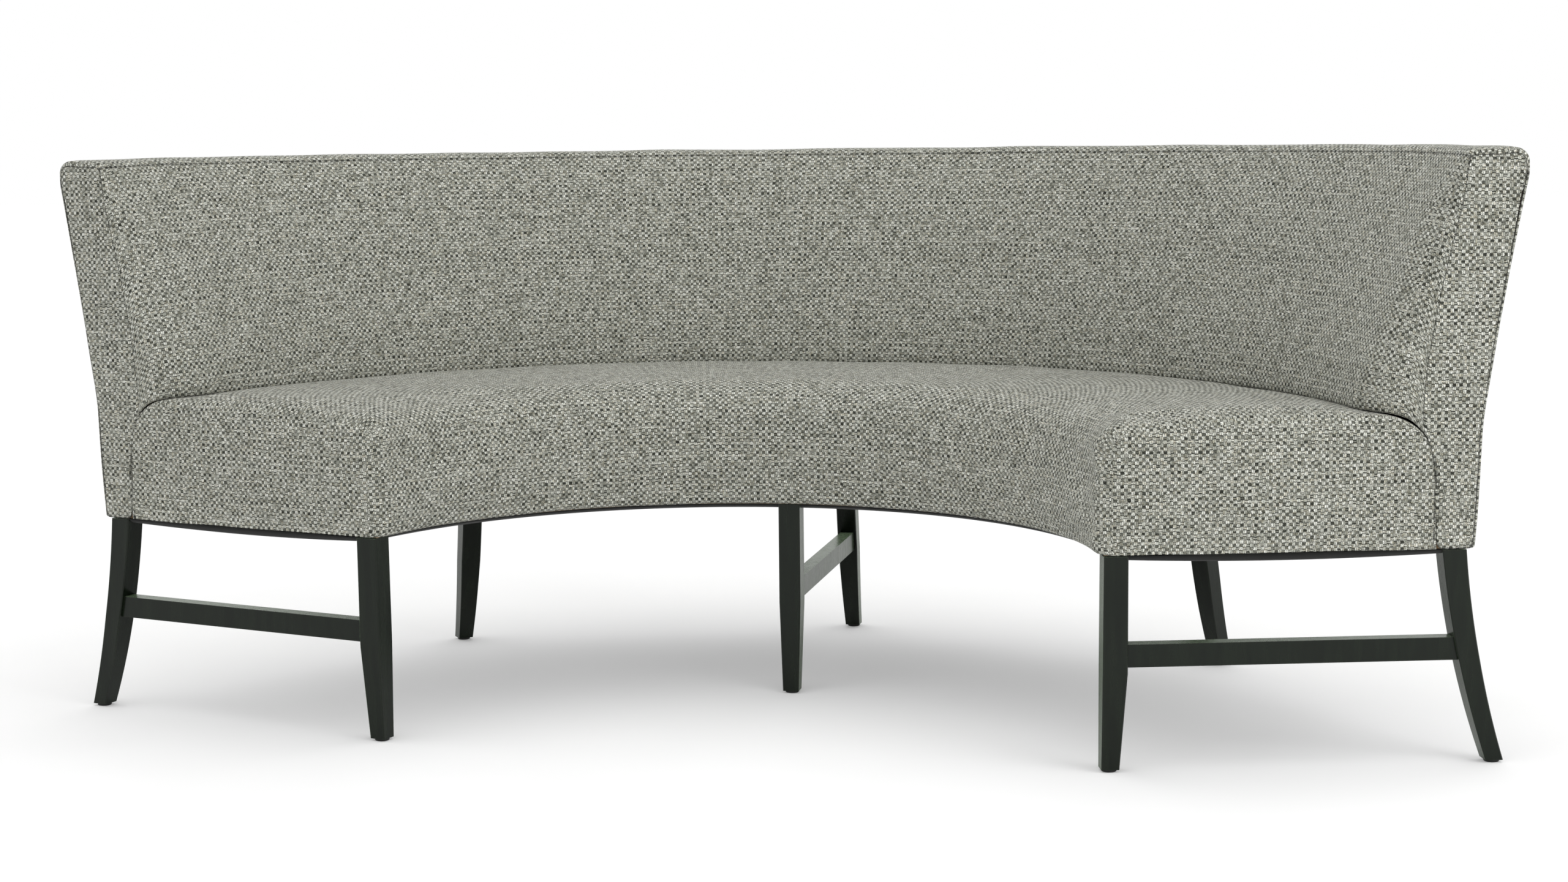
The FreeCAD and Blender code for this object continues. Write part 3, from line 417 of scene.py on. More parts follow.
@dataclass(frozen=True)
class Webbing:
    """Elastic back webbing with a ribbed weave, two stripes and painted shade in the rib grooves.
    """

    dark: Colour = (38, 38, 40)
    stripe: Colour = (150, 60, 44)
    rib: float = 0.0022
    pitch: float = math.radians(9.3125)
    relief: float = 0.0004

    def build(self) -> bpy.types.Material:
        """Make the material."""
        recipe = Recipe(Slot.WEBBING.value)
        x, y, z = recipe.split(recipe.place())
        ribs = (z / self.rib - (z / self.rib).floor()).arch()
        threads = recipe.noise(recipe.join(x, y, z), 700.0, 2.0)
        turn = recipe.node("ShaderNodeMath", {"operation": "ARCTAN2"}, {0: x, 1: y - Arc.centre_y})
        lane = (turn / self.pitch % 1.0 - 0.5).maths("ABSOLUTE")
        stripe = (lane - 0.42).maths("ABSOLUTE") < 0.02
        colour = recipe.blend(stripe, self.dark, self.stripe)
        return recipe.surface({
            # Painted shade: the colour darkens in the rib grooves, with a random thread tone.
            "Base Color": recipe.shade(colour, ribs * 0.35 + threads * 0.3 + 0.5),
            "Roughness": threads * 0.1 + 0.75,
            "Specular IOR Level": 0.3,
            "Normal": recipe.bump(ribs + threads * 0.4, self.relief, 0.7),
        })


FINISHES = {
    Slot.FABRIC: WovenFabric(),
    Slot.STAINED: Wood(Slot.STAINED, (13, 20, 12), (20, 28, 18), (58, 60, 52), 0.24,
                       (90.0, 90.0, 9.0), 0.27, glance=1.0),
    Slot.FRAME: Wood(Slot.FRAME, (176, 143, 104), (208, 179, 139), (222, 200, 168), 0.62,
                     (55.0, 55.0, 30.0), 0.4),
    Slot.BOARD: Matter(Slot.BOARD, (122, 96, 70), (160, 131, 100), 0.7, 420.0, 0.0002),
    Slot.DUST: Matter(Slot.DUST, (15, 16, 15), (34, 35, 33), 0.9, 1400.0, 0.0003, sheen=0.1),
    Slot.FELT: Matter(Slot.FELT, (118, 116, 110), (170, 168, 160), 0.95, 800.0, 0.0006,
                      (1.0, 1.0, 3.0), 0.2),
    Slot.FOAM: Matter(Slot.FOAM, (214, 205, 176), (236, 229, 205), 0.9, 1100.0, 0.0006),
    Slot.WEBBING: Webbing(),
    Slot.SPRING: Metal(Slot.SPRING, (150, 148, 142), (96, 94, 90), 0.4),
    Slot.ZINC: Metal(Slot.ZINC, (196, 194, 184), (150, 149, 142), 0.35),
    Slot.GLIDE: Matter(Slot.GLIDE, (24, 25, 24), (36, 37, 35), 0.45, 500.0, 0.0001),
}


# The bench's arc and the sheets that follow it


@dataclass(frozen=True)
class Arc:
    """The arc that the bench follows, and the planes at its two ends."""

    centre_y: float = -0.6439147
    half_angle: float = math.radians(74.5)
    overhang: float = 0.019

    def point(self, radius: float, angle: float, height: float) -> Vector:
        """Give the point at a radius, an angle from the middle and a height."""
        return Vector((radius * math.sin(angle), self.centre_y + radius * math.cos(angle), height))

    def beyond(self, radius: float, side: int, reach: float, height: float) -> Vector:
        """Give a point on a leg line, moved straight outwards by a reach."""
        start = self.point(radius, side * self.half_angle, height)
        outwards = Vector((side * math.cos(self.half_angle), -math.sin(self.half_angle), 0))
        return start + outwards * reach

    def gap(self, radius: float, angle: float) -> float:
        """Give the distance from a point to the end plane on its side."""
        return self.overhang + radius * math.sin(self.half_angle - abs(angle))


@dataclass(frozen=True)
class Ring:
    """One cross-section's place: an angle, or a step beyond a leg line."""

    angle: float
    side: int = 0
    reach: float = 0.0


def resample(path: Sequence[Pair], count: int) -> list[Pair]:
    """Divide a path into equal steps.

    Args:
        path: Points of radius and height.
        count: How many steps are wanted.

    Returns:
        One point more than there are steps.
    """
    points = np.array(path)
    steps = np.hypot(*np.diff(points, axis=0).T)
    run = np.concatenate([[0], np.cumsum(steps)])
    wanted = np.linspace(0, run[-1], count + 1)
    return list(zip(np.interp(wanted, run, points[:, 0]), np.interp(wanted, run, points[:, 1])))


def inset(points: Sequence[Pair], amounts: Sequence[float]) -> list[Pair]:
    """Move each point of an outline inwards, to the right of its run.

    Args:
        points: The outline, drawn so that its inside is on the right.
        amounts: How far each point moves.

    Returns:
        The moved points.
    """
    array = np.array(points)
    ahead = np.gradient(array, axis=0)
    ahead /= np.maximum(np.hypot(ahead[:, 0], ahead[:, 1]), 1e-9)[:, None]
    inwards = np.stack([ahead[:, 1], -ahead[:, 0]], axis=1)
    return [tuple(p) for p in array + inwards * np.array(amounts)[:, None]]


def rounding(gap: float, radius: float) -> float:
    """Give how far a rounded end edge has drawn in at a gap from the end plane."""
    if gap >= radius:
        return 0.0
    return radius - math.sqrt(max(radius ** 2 - (radius - gap) ** 2, 0.0))


def deselect() -> None:
    """Leave nothing selected."""
    if bpy.context.mode != "OBJECT":
        bpy.ops.object.mode_set(mode="OBJECT")
    bpy.ops.object.select_all(action="DESELECT")


def pick(piece: bpy.types.Object) -> None:
    """Select one piece alone and make it the active one."""
    deselect()
    bpy.context.view_layer.objects.active = piece
    piece.select_set(True)


def read(items: bpy.types.bpy_prop_collection, key: str, width: int = 3,
         kind: type = float) -> np.ndarray:
    """Read one property of a mesh's items.

    Args:
        items: The vertices, faces, corners or attribute values.
        key: The property's name.
        width: How many numbers an item has.
        kind: The numbers' type.

    Returns:
        One row for each item, or one number where an item has one.
    """
    values = np.zeros(len(items) * width, dtype=kind)
    items.foreach_get(key, values)
    return values.reshape(-1, width) if width > 1 else values


def rise(values: np.ndarray, start: float, run: float) -> np.ndarray:
    """Give 0 up to a start, 1 from a run after it, and a straight rise between."""
    return np.clip((values - start) / run, 0, 1)


def lay_grid(name: str, rows: Sequence[Sequence[Vector]], flat: Sequence[Sequence[Pair]],
             seams: Sequence[Sequence[float]]) -> bpy.types.Object:
    """Lay a grid primitive over rows of points.

    Args:
        name: The new object's name.
        rows: The points, row by row.
        flat: Each point's place on the cloth, in metres.
        seams: Each point's distance to the nearest seam.

    Returns:
        The object.
    """
    deselect()
    across, along = len(rows[0]) - 1, len(rows) - 1
    bpy.ops.mesh.primitive_grid_add(x_subdivisions=across, y_subdivisions=along, size=1)
    piece = bpy.context.object
    piece.name = piece.data.name = name
    mesh = piece.data
    start = read(mesh.vertices, "co")
    columns = np.rint((start[:, 0] + 0.5) * across).astype(int)
    lines = np.rint((start[:, 1] + 0.5) * along).astype(int)
    points = np.array([[tuple(point) for point in row] for row in rows])
    mesh.vertices.foreach_set("co", points[lines, columns].ravel())
    layer = mesh.uv_layers[0]
    layer.name = "Weave"
    corners = read(mesh.loops, "vertex_index", 1, int)
    layer.data.foreach_set("uv", np.array(flat)[lines, columns][corners].ravel())
    gaps = mesh.attributes.new("seam_gap", "FLOAT", "POINT")
    gaps.data.foreach_set("value", np.array(seams, dtype=float)[lines, columns].ravel())
    mesh.update()
    return piece


def weld(name: str, pieces: Sequence[bpy.types.Object]) -> bpy.types.Object:
    """Join sheets into one, merge their shared edges and turn their faces outwards."""
    deselect()
    for piece in pieces:
        piece.select_set(True)
    whole = pieces[0]
    bpy.context.view_layer.objects.active = whole
    bpy.ops.object.join()
    whole.name = whole.data.name = name
    bpy.ops.object.mode_set(mode="EDIT")
    bpy.ops.mesh.select_all(action="SELECT")
    bpy.ops.mesh.remove_doubles(threshold=0.00005)
    bpy.ops.mesh.normals_make_consistent(inside=False)
    bpy.ops.object.mode_set(mode="OBJECT")
    return whole


def face_outwards(piece: bpy.types.Object, inside: Callable[[np.ndarray], np.ndarray]) -> None:
    """Turn all faces round if most of them look towards the inside.

    Args:
        piece: The sheet.
        inside: Gives the direction to the inside for points on the sheet.
    """
    faces = piece.data.polygons
    towards = inside(read(faces, "center"))
    if (np.einsum("ij,ij->i", read(faces, "normal"), towards) > 0).mean() > 0.5:
        pick(piece)
        bpy.ops.object.mode_set(mode="EDIT")
        bpy.ops.mesh.select_all(action="SELECT")
        bpy.ops.mesh.flip_normals()
        bpy.ops.object.mode_set(mode="OBJECT")


def use_modifier(piece: bpy.types.Object, kind: str, **settings: object) -> None:
    """Add a modifier and apply it."""
    pick(piece)
    modifier = piece.modifiers.new(kind.title(), kind)
    for key, value in settings.items():
        setattr(modifier, key, value)
    bpy.ops.object.modifier_apply(modifier=modifier.name)


def puff(piece: bpy.types.Object, held: np.ndarray, cap: np.ndarray | float, frames: int = 16,
         pressure: float = 3.0, least: float = 0.01) -> None:
    """Swell a sheet by cloth simulation and keep the result.

    Args:
        piece: The sheet, before its last subdivision.
        held: How firmly each vertex is held, from 0 to 1.
        cap: The most that each vertex may move.
        frames: How long the simulation runs.
        pressure: The push from inside.
        least: The weakest hold that counts.
    """
    group = piece.vertex_groups.new(name="held")
    for number, weight in enumerate(held):
        if weight > least:
            group.add([number], float(weight), "REPLACE")
    scene = bpy.context.scene
    before = read(piece.data.vertices, "co")
    modifier = piece.modifiers.new("Cloth", "CLOTH")
    cloth = modifier.settings
    cloth.quality = 6
    cloth.mass = 0.35
    cloth.tension_stiffness = cloth.compression_stiffness = 12
    cloth.shear_stiffness = 6
    cloth.bending_stiffness = 2.5
    cloth.use_pressure = True
    cloth.uniform_pressure_force = pressure
    cloth.effector_weights.gravity = 0
    cloth.vertex_group_mass = group.name
    cloth.pin_stiffness = 2
    modifier.point_cache.frame_start = 1
    modifier.point_cache.frame_end = frames
    for number in range(1, frames + 1):
        scene.frame_set(number)
    shaped = piece.evaluated_get(bpy.context.evaluated_depsgraph_get()).data
    moved = read(shaped.vertices, "co") - before
    piece.modifiers.remove(modifier)
    far = np.maximum(np.hypot(np.hypot(moved[:, 0], moved[:, 1]), moved[:, 2]), 1e-9)
    moved *= np.minimum(1, cap / far)[:, None]
    log.info("%s swelled by %.1f mm at most", piece.name, 1000 * np.minimum(far, cap).max())
    piece.data.vertices.foreach_set("co", (before + moved).ravel())
    piece.vertex_groups.remove(group)
    piece.data.update()
    scene.frame_set(1)


def patch(left: Sequence[Pair], top: Sequence[Pair], right: Sequence[Pair],
          foot: Sequence[Pair]) -> list[list[Pair]]:
    """Fill the space between four sides with an even net.

    Args:
        left: The left side, from its foot up.
        top: The top, from left to right.
        right: The right side, from its foot up.
        foot: The foot, from left to right.

    Returns:
        The net's points, row by row from the foot.
    """
    sides = [np.array(side) for side in (left, top, right, foot)]
    left_side, top_side, right_side, foot_side = sides
    up = np.linspace(0, 1, len(left_side))[:, None, None]
    over = np.linspace(0, 1, len(top_side))[None, :, None]
    across = left_side[:, None] * (1 - over) + right_side[:, None] * over
    upwards = foot_side[None] * (1 - up) + top_side[None] * up
    corners = (foot_side[0] * (1 - over) * (1 - up) + foot_side[-1] * over * (1 - up)
               + top_side[0] * (1 - over) * up + top_side[-1] * over * up)
    return [[tuple(point) for point in row] for row in across + upwards - corners]


@dataclass
class Upholstery:
    """A cover that sweeps along the arc and closes at both end planes."""

    arc: Arc
    name: str = "cover"
    turns: int = 170
    end_steps: tuple[float, ...] = (0.0055, 0.0100, 0.0126, 0.0149, 0.0172, 0.0190)
    weave_radius: float = 0.546
    seam_ease: float = 0.0
    seam_reach: float = 0.03
    panel_reach: float = 0.008
    fine_turns: int = 0

    def outline(self) -> list[Pair]:
        """Give the main cross-section."""
        raise NotImplementedError

    def stop(self, number: int, gap: float) -> Pair:
        """Give one stop of the cross-section at a gap from the end plane."""
        raise NotImplementedError

    def rings(self) -> list[Ring]:
        """List the places of the cross-sections, from the left end to the right."""
        half = self.arc.half_angle
        step = 2 * half / self.turns
        fine = [half - step * (number + 0.5) for number in range(self.fine_turns)]
        angles = [-half + step * number for number in range(self.turns + 1)]
        left = [Ring(-half, -1, reach) for reach in reversed(self.end_steps)]
        middle = [Ring(angle) for angle in sorted(angles + fine + [-angle for angle in fine])]
        right = [Ring(half, 1, reach) for reach in self.end_steps]
        return left + middle + right

    def place(self, ring: Ring, number: int, radius: float) -> Vector:
        """Place one stop of a cross-section on a ring."""
        if ring.side:
            reach, height = self.stop(number, self.arc.overhang - ring.reach)
            return self.arc.beyond(reach, ring.side, ring.reach, height)
        reach, height = self.stop(number, self.arc.gap(radius, ring.angle))
        return self.arc.point(reach, ring.angle, height)

    def sweep(self, start: int = 0, seam_stops: Sequence[int] = ()) -> bpy.types.Object:
        """Lay the swept sheet over both ends' roundings.

        Args:
            start: The stop that the cloth's length is measured from.
            seam_stops: Stops that a seam runs along.

        Returns:
            The sheet.
        """
        outline = np.array(self.outline())
        lengths = np.concatenate([[0], np.cumsum(np.hypot(*np.diff(outline, axis=0).T))])
        lengths -= lengths[start]
        rings = self.rings()
        rows = [[self.place(ring, number, radius) for number, (radius, _) in enumerate(outline)]
                for ring in rings]
        points = np.array([[tuple(point) for point in row] for row in rows])
        steps = np.linalg.norm(np.diff(points, axis=0), axis=2)
        runs = np.array([[ring.angle * self.weave_radius] * len(outline) for ring in rings])
        count = len(self.end_steps) + 2 * self.fine_turns
        for number in range(count):
            runs[count - 1 - number] = runs[count - number] - steps[count - 1 - number]
            runs[number - count] = runs[number - count - 1] + steps[number - count]
        gaps = np.full(runs.shape, self.seam_reach)
        near = np.minimum(np.cumsum(steps, axis=0), np.cumsum(steps[::-1], axis=0)[::-1])
        gaps[1:-1] = np.minimum(gaps[1:-1], np.minimum(near[:-1], near[1:]))
        gaps[0] = gaps[-1] = 0
        for other in seam_stops:
            gaps = np.minimum(gaps, np.abs(lengths - lengths[other])[None])
        flat = [[(run, length) for run, length in zip(line, lengths)] for line in runs]
        return lay_grid(self.name, rows, flat, gaps + self.seam_ease)

    def last_section(self) -> list[Pair]:
        """Give the cross-section in the end plane."""
        gap = self.arc.overhang - self.end_steps[-1]
        return [self.stop(number, gap) for number in range(len(self.outline()))]

    def cap(self, side: int, net: Sequence[Sequence[Pair]]) -> bpy.types.Object:
        """Lay an end panel in the end plane, over a net of points."""
        rows = [[self.arc.beyond(radius, side, self.end_steps[-1], height)
                 for radius, height in line] for line in net]
        flat = [[(side * radius, height) for radius, height in line] for line in net]
        gaps = np.zeros(np.shape(net)[:2])
        gaps[1:-1, 1:-1] = self.panel_reach
        gaps[:, :-1] += self.seam_ease
        return lay_grid(f"{self.name}_end", rows, flat, gaps)

    def close(self, sheet: bpy.types.Object, net: Sequence[Sequence[Pair]]) -> bpy.types.Object:
        """Close the swept sheet with an end panel on each side."""
        return weld(self.name, [sheet, self.cap(-1, net), self.cap(1, net)])


@dataclass
class SeatCushion(Upholstery):
    """The seat's cover over its foam: top and front in one cloth, two end panels."""

    name: str = "seat_cushion"
    front: float = 0.546
    rear: float = 1.0338
    crown_end: float = 1.035
    foot: float = 0.3136
    edge: float = 0.500
    crown: float = 0.011
    belly: float = 0.0025
    hem: tuple[Pair, ...] = ((0.013, 0.0004), (0.006, 0.0), (0.0022, 0.001), (0.0004, 0.0035))
    face_start: float = 0.006
    face_drop: float = 0.040
    front_round: float = 0.044
    rear_round: float = 0.085
    end_round: float = 0.024
    top_end_round: float = 0.017
    tight_round: float = 0.004
    tight_from: float = 0.935
    tight_run: float = 0.03
    hem_reach: float = 0.020
    hem_rise: float = 0.012
    seam_ease: float = 0.0010
    front_steps: int = 24
    top_steps: int = 40
    curve_steps: int = 12
    top_points: int = 20
    ease_steps: int = 10
    _outline: list[Pair] = field(default_factory=list)
    _inwards: list[Pair] = field(default_factory=list)
    _tops: dict = field(default_factory=dict)

    def top_height(self, radius: float) -> float:
        """Give the height of the seat's top at a radius."""
        half = (self.crown_end - self.front) / 2
        share = (radius - self.front - half) / half
        crest = self.edge + self.crown * (1 - share ** 2)
        start = self.rear - self.rear_round
        if radius <= start:
            return crest
        level = self.edge + self.crown * (1 - ((start - self.front - half) / half) ** 2)
        lean = min((radius - start) / self.rear_round, 1.0)
        return level - self.rear_round + self.rear_round * math.sqrt(max(1 - lean ** 2, 0))

    def outline(self) -> list[Pair]:
        """Give the main cross-section, from under the front edge over to the rear."""
        if self._outline:
            return self._outline
        foot, front, count = self.foot, self.front, self.curve_steps
        path = [(front + over, foot + up) for over, up in self.hem]
        level, low = self.edge - self.face_drop, foot + self.face_start
        for number in range(1, count + 1):
            share = number / count
            path.append((front - self.belly * math.sin(math.pi * share),
                         low + (level - foot - self.face_start) * share))
        corner = len(path) + count // 2
        peak = self.top_height(front + self.front_round)
        for number in range(1, count + 1):
            turn = math.pi / 2 * number / count
            path.append((front + self.front_round * (1 - math.cos(turn)),
                         level + (peak - level) * math.sin(turn)))
        first, second = path[:corner], path[corner - 1:]
        start = self.rear - self.rear_round
        for radius in np.linspace(front + self.front_round, start, self.top_points)[1:]:
            second.append((radius, self.top_height(radius)))
        top_round = self.top_height(start)
        bend = [(start + self.rear_round * math.sin(turn),
                 top_round - self.rear_round * (1 - math.cos(turn)))
                for turn in np.linspace(0, math.pi / 2, count + 1)]
        second += bend[1:count // 2 + 1]
        third = bend[count // 2:] + [(self.rear, foot)]
        parts = [resample(first, self.front_steps), resample(second, self.top_steps),
                 resample(third, self.front_steps)]
        self._outline = parts[0] + parts[1][1:] + parts[2][1:]
        return self._outline

    def soft_radius(self, number: int) -> float:
        """Give the end rounding at one stop: generous in front, tight under the back."""
        radius, height = self.outline()[number]
        if number < self.front_steps:
            return self.end_round
        if radius >= self.tight_from:
            ease = min((radius - self.tight_from) / self.tight_run, 1.0)
            return self.top_end_round + (self.tight_round - self.top_end_round) * ease
        share = min((number - self.front_steps) / self.ease_steps, 1.0)
        return self.end_round + (self.top_end_round - self.end_round) * share

    def inwards(self) -> list[Pair]:
        """Give each stop's direction into the cushion, level at the foot."""
        if not self._inwards:
            array = np.array(self.outline())
            ahead = np.gradient(array, axis=0)
            ahead /= np.hypot(ahead[:, 0], ahead[:, 1])[:, None]
            for (along, up), (radius, height) in zip(ahead, array):
                low = height < self.foot + self.hem_rise and radius < self.front + self.hem_reach
                self._inwards.append((1.0, 0.0) if low else (up, -along))
        return self._inwards

    def stop(self, number: int, gap: float) -> Pair:
        """Give one stop of the cross-section at a gap from the end plane."""
        radius, height = self.outline()[number]
        soft = self.soft_radius(number)
        if gap >= soft:
            return radius, height
        draw = rounding(gap, soft)
        over, up = self.inwards()[number]
        return radius + over * draw, height + up * draw

    def height_at(self, radius: float, gap: float) -> float:
        """Give the height of the seat's top at a radius and a gap from the end plane."""
        if radius >= self.rear - 0.001:
            return self.edge - self.rear_round
        key = round(gap, 4)
        if key not in self._tops:
            stops = [self.stop(number, gap)
                     for number in range(self.front_steps, len(self.outline()))]
            self._tops[key] = sorted(stops)
        reach, heights = zip(*self._tops[key])
        return float(np.interp(radius, reach, heights))

    def build(self) -> bpy.types.Object:
        """Make the cushion's cover."""
        sheet = self.sweep()
        last, n = self.last_section(), self.front_steps
        left, top, right = last[:n + 1], last[n:-n], last[-n - 1:][::-1]
        foot = resample([left[0], right[0]], self.top_steps)
        return self.close(sheet, patch(left, top, right, foot))


@dataclass
class BackCushion(Upholstery):
    """The back's cover over its foam: leaning front, top strip and two end panels."""

    name: str = "back_cushion"
    weave_radius: float = 1.0
    turns: int = 144
    fine_turns: int = 9
    seat: SeatCushion | None = None
    root: Pair = (0.899, 0.422)
    lip: float = 1.069
    top: float = 0.880
    swell: float = 0.028
    corner_reach: float = 0.060
    end_round: float = 0.007
    end_dip: float = 0.0045
    dip_reach: float = 0.38
    seam_ease: float = 0.0003
    front_steps: int = 36
    top_steps: int = 22
    hem_steps: int = 3
    seam_height: float = 0.872
    lift: float = 0.0008
    tuck: float = 0.006
    tuck_steps: float = 2.0
    path_points: int = 14
    path_lift: float = 0.0006
    low_right: float = 1.0855
    waist: Pair = (1.0925, 0.490)
    strip_front: tuple[Pair, ...] = (
        (0.0012, 0.8762), (0.0042, 0.8790), (0.0090, 0.8801), (0.030, 0.8804))
    strip_rear: tuple[Pair, ...] = (
        (1.118, 0.8800), (1.1310, 0.8790), (1.1402, 0.8768), (1.1478, 0.8727), (1.1528, 0.8668),
        (1.1550, 0.8600), (1.1553, 0.8500))
    strip_foot: Pair = (1.1502, 0.8200)
    no_gap: float = 1.0
    end_seam: tuple[Pair, ...] = (
        (0.440, 1.0165), (0.493, 1.0125), (0.532, 1.013), (0.575, 1.0165), (0.621, 1.0225),
        (0.679, 1.033), (0.729, 1.0435), (0.763, 1.0515), (0.805, 1.0605), (0.855, 1.0670),
        (0.880, 1.0695))
    _starts: dict = field(default_factory=dict)

    def front_at(self, height: float, gap: float) -> float:
        """Give the radius of the leaning front at a height and a gap from the end."""
        share = (height - self.root[1]) / (self.top - self.root[1])
        main = self.root[0] + (self.lip - self.root[0]) * share - self.swell * share * (1 - share)
        heights, radii = zip(*self.end_seam)
        painted_shade_and_fibre = float(np.interp(height, heights, radii)) - main
        reach = max(self.corner_reach, painted_shade_and_fibre)
        if gap >= reach:
            return main
        return main + painted_shade_and_fibre * (1 - math.sqrt(max(1 - (1 - gap / reach) ** 2, 0)))

    def start_at(self, gap: float) -> float:
        """Find the height at which the front rises from the seat."""
        key = round(gap, 5)
        if key not in self._starts:
            height = self.seat.edge
            for _ in range(30):
                wanted = self.seat.height_at(self.front_at(height, gap), gap) + self.lift
                height += 0.5 * (wanted - height)
            self._starts[key] = height
        return self._starts[key]

    def strip(self) -> list[Pair]:
        """Give the top strip, from the front seam over the top to the hem."""
        front = self.front_at(self.seam_height, self.no_gap)
        path = [(front, self.seam_height), *((front + over, height)
                                             for over, height in self.strip_front)]
        hem = resample([self.strip_rear[-1], self.strip_foot], self.hem_steps)
        return resample(path + list(self.strip_rear), self.top_steps) + hem[1:]

    def outline(self) -> list[Pair]:
        """Give the main cross-section, from the seat up the front and over the top."""
        count = self.front_steps + self.top_steps + self.hem_steps
        return [self.stop(number, self.no_gap) for number in range(count + 1)]

    def stop(self, number: int, gap: float) -> Pair:
        """Give one stop of the cross-section at a gap from the end plane."""
        dip = self.end_dip * max(0.0, 1 - gap / self.dip_reach) ** 2
        if number <= self.front_steps:
            low = self.start_at(gap)
            share = number / self.front_steps
            height = low + (self.seam_height - dip - low) * share
            tuck = self.tuck * max(0.0, 1 - number / self.tuck_steps) ** 2
            return self.front_at(height, gap) + tuck, height
        strip = self.strip()
        place = number - self.front_steps
        radius, height = inset(strip, [rounding(gap, self.end_round)] * len(strip))[place]
        height -= dip * min(max(2.8 - 4 * place / self.top_steps, 0.0), 1.0)
        if gap < self.corner_reach:
            shift = self.front_at(self.seam_height, gap) - strip[0][0]
            radius += shift * max(0.0, 1 - place / self.top_steps)
        return radius, height

    def build(self) -> bpy.types.Object:
        """Make the back's cover."""
        sheet = self.sweep(self.front_steps, [self.front_steps])
        last, n, seat, lift = self.last_section(), self.front_steps, self.seat, self.path_lift
        gap = self.arc.overhang - self.end_steps[-1]
        left, top = last[:n + 1], last[n:n + self.top_steps + 1]
        hem = last[n + self.top_steps:]
        corner = (self.low_right, seat.foot)
        rest = resample([hem[-1], self.waist, corner], n - self.hem_steps)
        right = (hem + rest[1:])[::-1]
        path = [left[0]]
        for radius in np.linspace(left[0][0], seat.rear - 0.002, self.path_points)[1:]:
            path.append((radius + lift, seat.height_at(radius, gap) + lift))
        path += [(seat.rear - 0.0002, seat.foot), corner]
        return self.close(sheet, patch(left, top, right, resample(path, self.top_steps)))


@dataclass
class OutsidePanel(Upholstery):
    """The cloth over the outer curved board, turned under at its foot."""

    name: str = "outside_panel"
    weave_radius: float = 1.11
    turns: int = 180
    foot_steps: int = 6
    face_steps: int = 46
    end_round: float = 0.005
    under: tuple[Pair, ...] = (
        (1.0750, 0.3142), (1.0840, 0.3134), (1.0880, 0.3140), (1.0895, 0.3170))
    path: tuple[Pair, ...] = (
        (1.0895, 0.3170), (1.0925, 0.3600), (1.0945, 0.4000), (1.0962, 0.4500), (1.0975, 0.4900),
        (1.1010, 0.5200), (1.1070, 0.5600), (1.1185, 0.6350), (1.1310, 0.7080), (1.1440, 0.7800),
        (1.1535, 0.8330), (1.1563, 0.8480), (1.1562, 0.8510), (1.1548, 0.8520))
    _outline: list[Pair] = field(default_factory=list)

    def outline(self) -> list[Pair]:
        """Give the main cross-section, from under the foot up to the top seam."""
        if not self._outline:
            self._outline = resample(self.under, self.foot_steps)
            self._outline += resample(self.path, self.face_steps)[1:]
            self._outline.reverse()
        return self._outline

    def stop(self, number: int, gap: float) -> Pair:
        """Give one stop of the cross-section at a gap from the end plane."""
        outline = self.outline()
        if gap >= self.end_round:
            return outline[number]
        return inset(outline, [rounding(gap, self.end_round)] * len(outline))[number]

    def build(self) -> bpy.types.Object:
        """Make the panel."""
        return weld(self.name, [self.sweep(1, [1])])


@dataclass
class DustCover(Upholstery):
    """The black cloth under the seat, with a folded edge and a slight sag."""

    name: str = "dust_sheet"
    end_steps: tuple[float, ...] = (0.008, 0.016)
    turns: int = 120
    near: float = 0.5590
    far: float = 1.0740
    level: float = 0.3122
    hem: float = 0.0058
    sag: float = 0.012
    end_share: float = 0.55
    edge_run: float = 0.010
    end_run: float = 0.16
    steps: int = 30

    def outline(self) -> list[Pair]:
        """Give the cross-section, from the front edge to the rear."""
        points = []
        for number in range(self.steps + 1):
            share = number / self.steps
            edge = min(share, 1 - share) * (self.far - self.near)
            drop = self.hem * min(edge / self.edge_run, 1.0)
            drop += self.sag * math.sin(math.pi * share) ** 0.7
            points.append((self.near + (self.far - self.near) * share, self.level - drop))
        return points

    def stop(self, number: int, gap: float) -> Pair:
        """Give one stop of the cross-section at a gap from the end plane."""
        radius, height = self.outline()[number]
        start = self.arc.overhang - self.end_steps[-1]
        lift = max(0.0, 1 - (gap - start) / self.edge_run)
        low = self.level - height
        ease = 1 - (1 - self.end_share) * max(0.0, 1 - (gap - start) / self.end_run) ** 2
        drop = min(low, self.hem) + max(low - self.hem, 0.0) * ease
        return radius, self.level - drop * (1 - lift)

    def build(self) -> bpy.types.Object:
        """Make the sheet."""
        return weld(self.name, [self.sweep()])


# Stage, camera and lights


@dataclass(frozen=True)
class Viewpoint:
    """The photograph's camera."""

    position: tuple[float, float, float] = (0.81871, -3.91902, 0.90286)
    yaw: float = -0.21207
    pitch: float = -0.12361
    roll: float = -0.01140
    lens: float = 56.196

    def build(self) -> None:
        """Add the camera."""
        ahead = Vector((math.sin(self.yaw) * math.cos(self.pitch),
                        math.cos(self.yaw) * math.cos(self.pitch), math.sin(self.pitch)))
        right = Vector((math.cos(self.yaw), -math.sin(self.yaw), 0))
        up = right.cross(ahead)
        across = right * math.cos(self.roll) + up * math.sin(self.roll)
        upright = up * math.cos(self.roll) - right * math.sin(self.roll)
        data = bpy.data.cameras.new("Camera")
        data.lens = self.lens
        data.sensor_width = 36
        data.clip_end = 100
        camera = bpy.data.objects.new("Camera", data)
        camera.matrix_world = Matrix.Translation(self.position) @ Matrix(
            (across, upright, -ahead)).transposed().to_4x4()
        bpy.context.scene.collection.objects.link(camera)
        bpy.context.scene.camera = camera


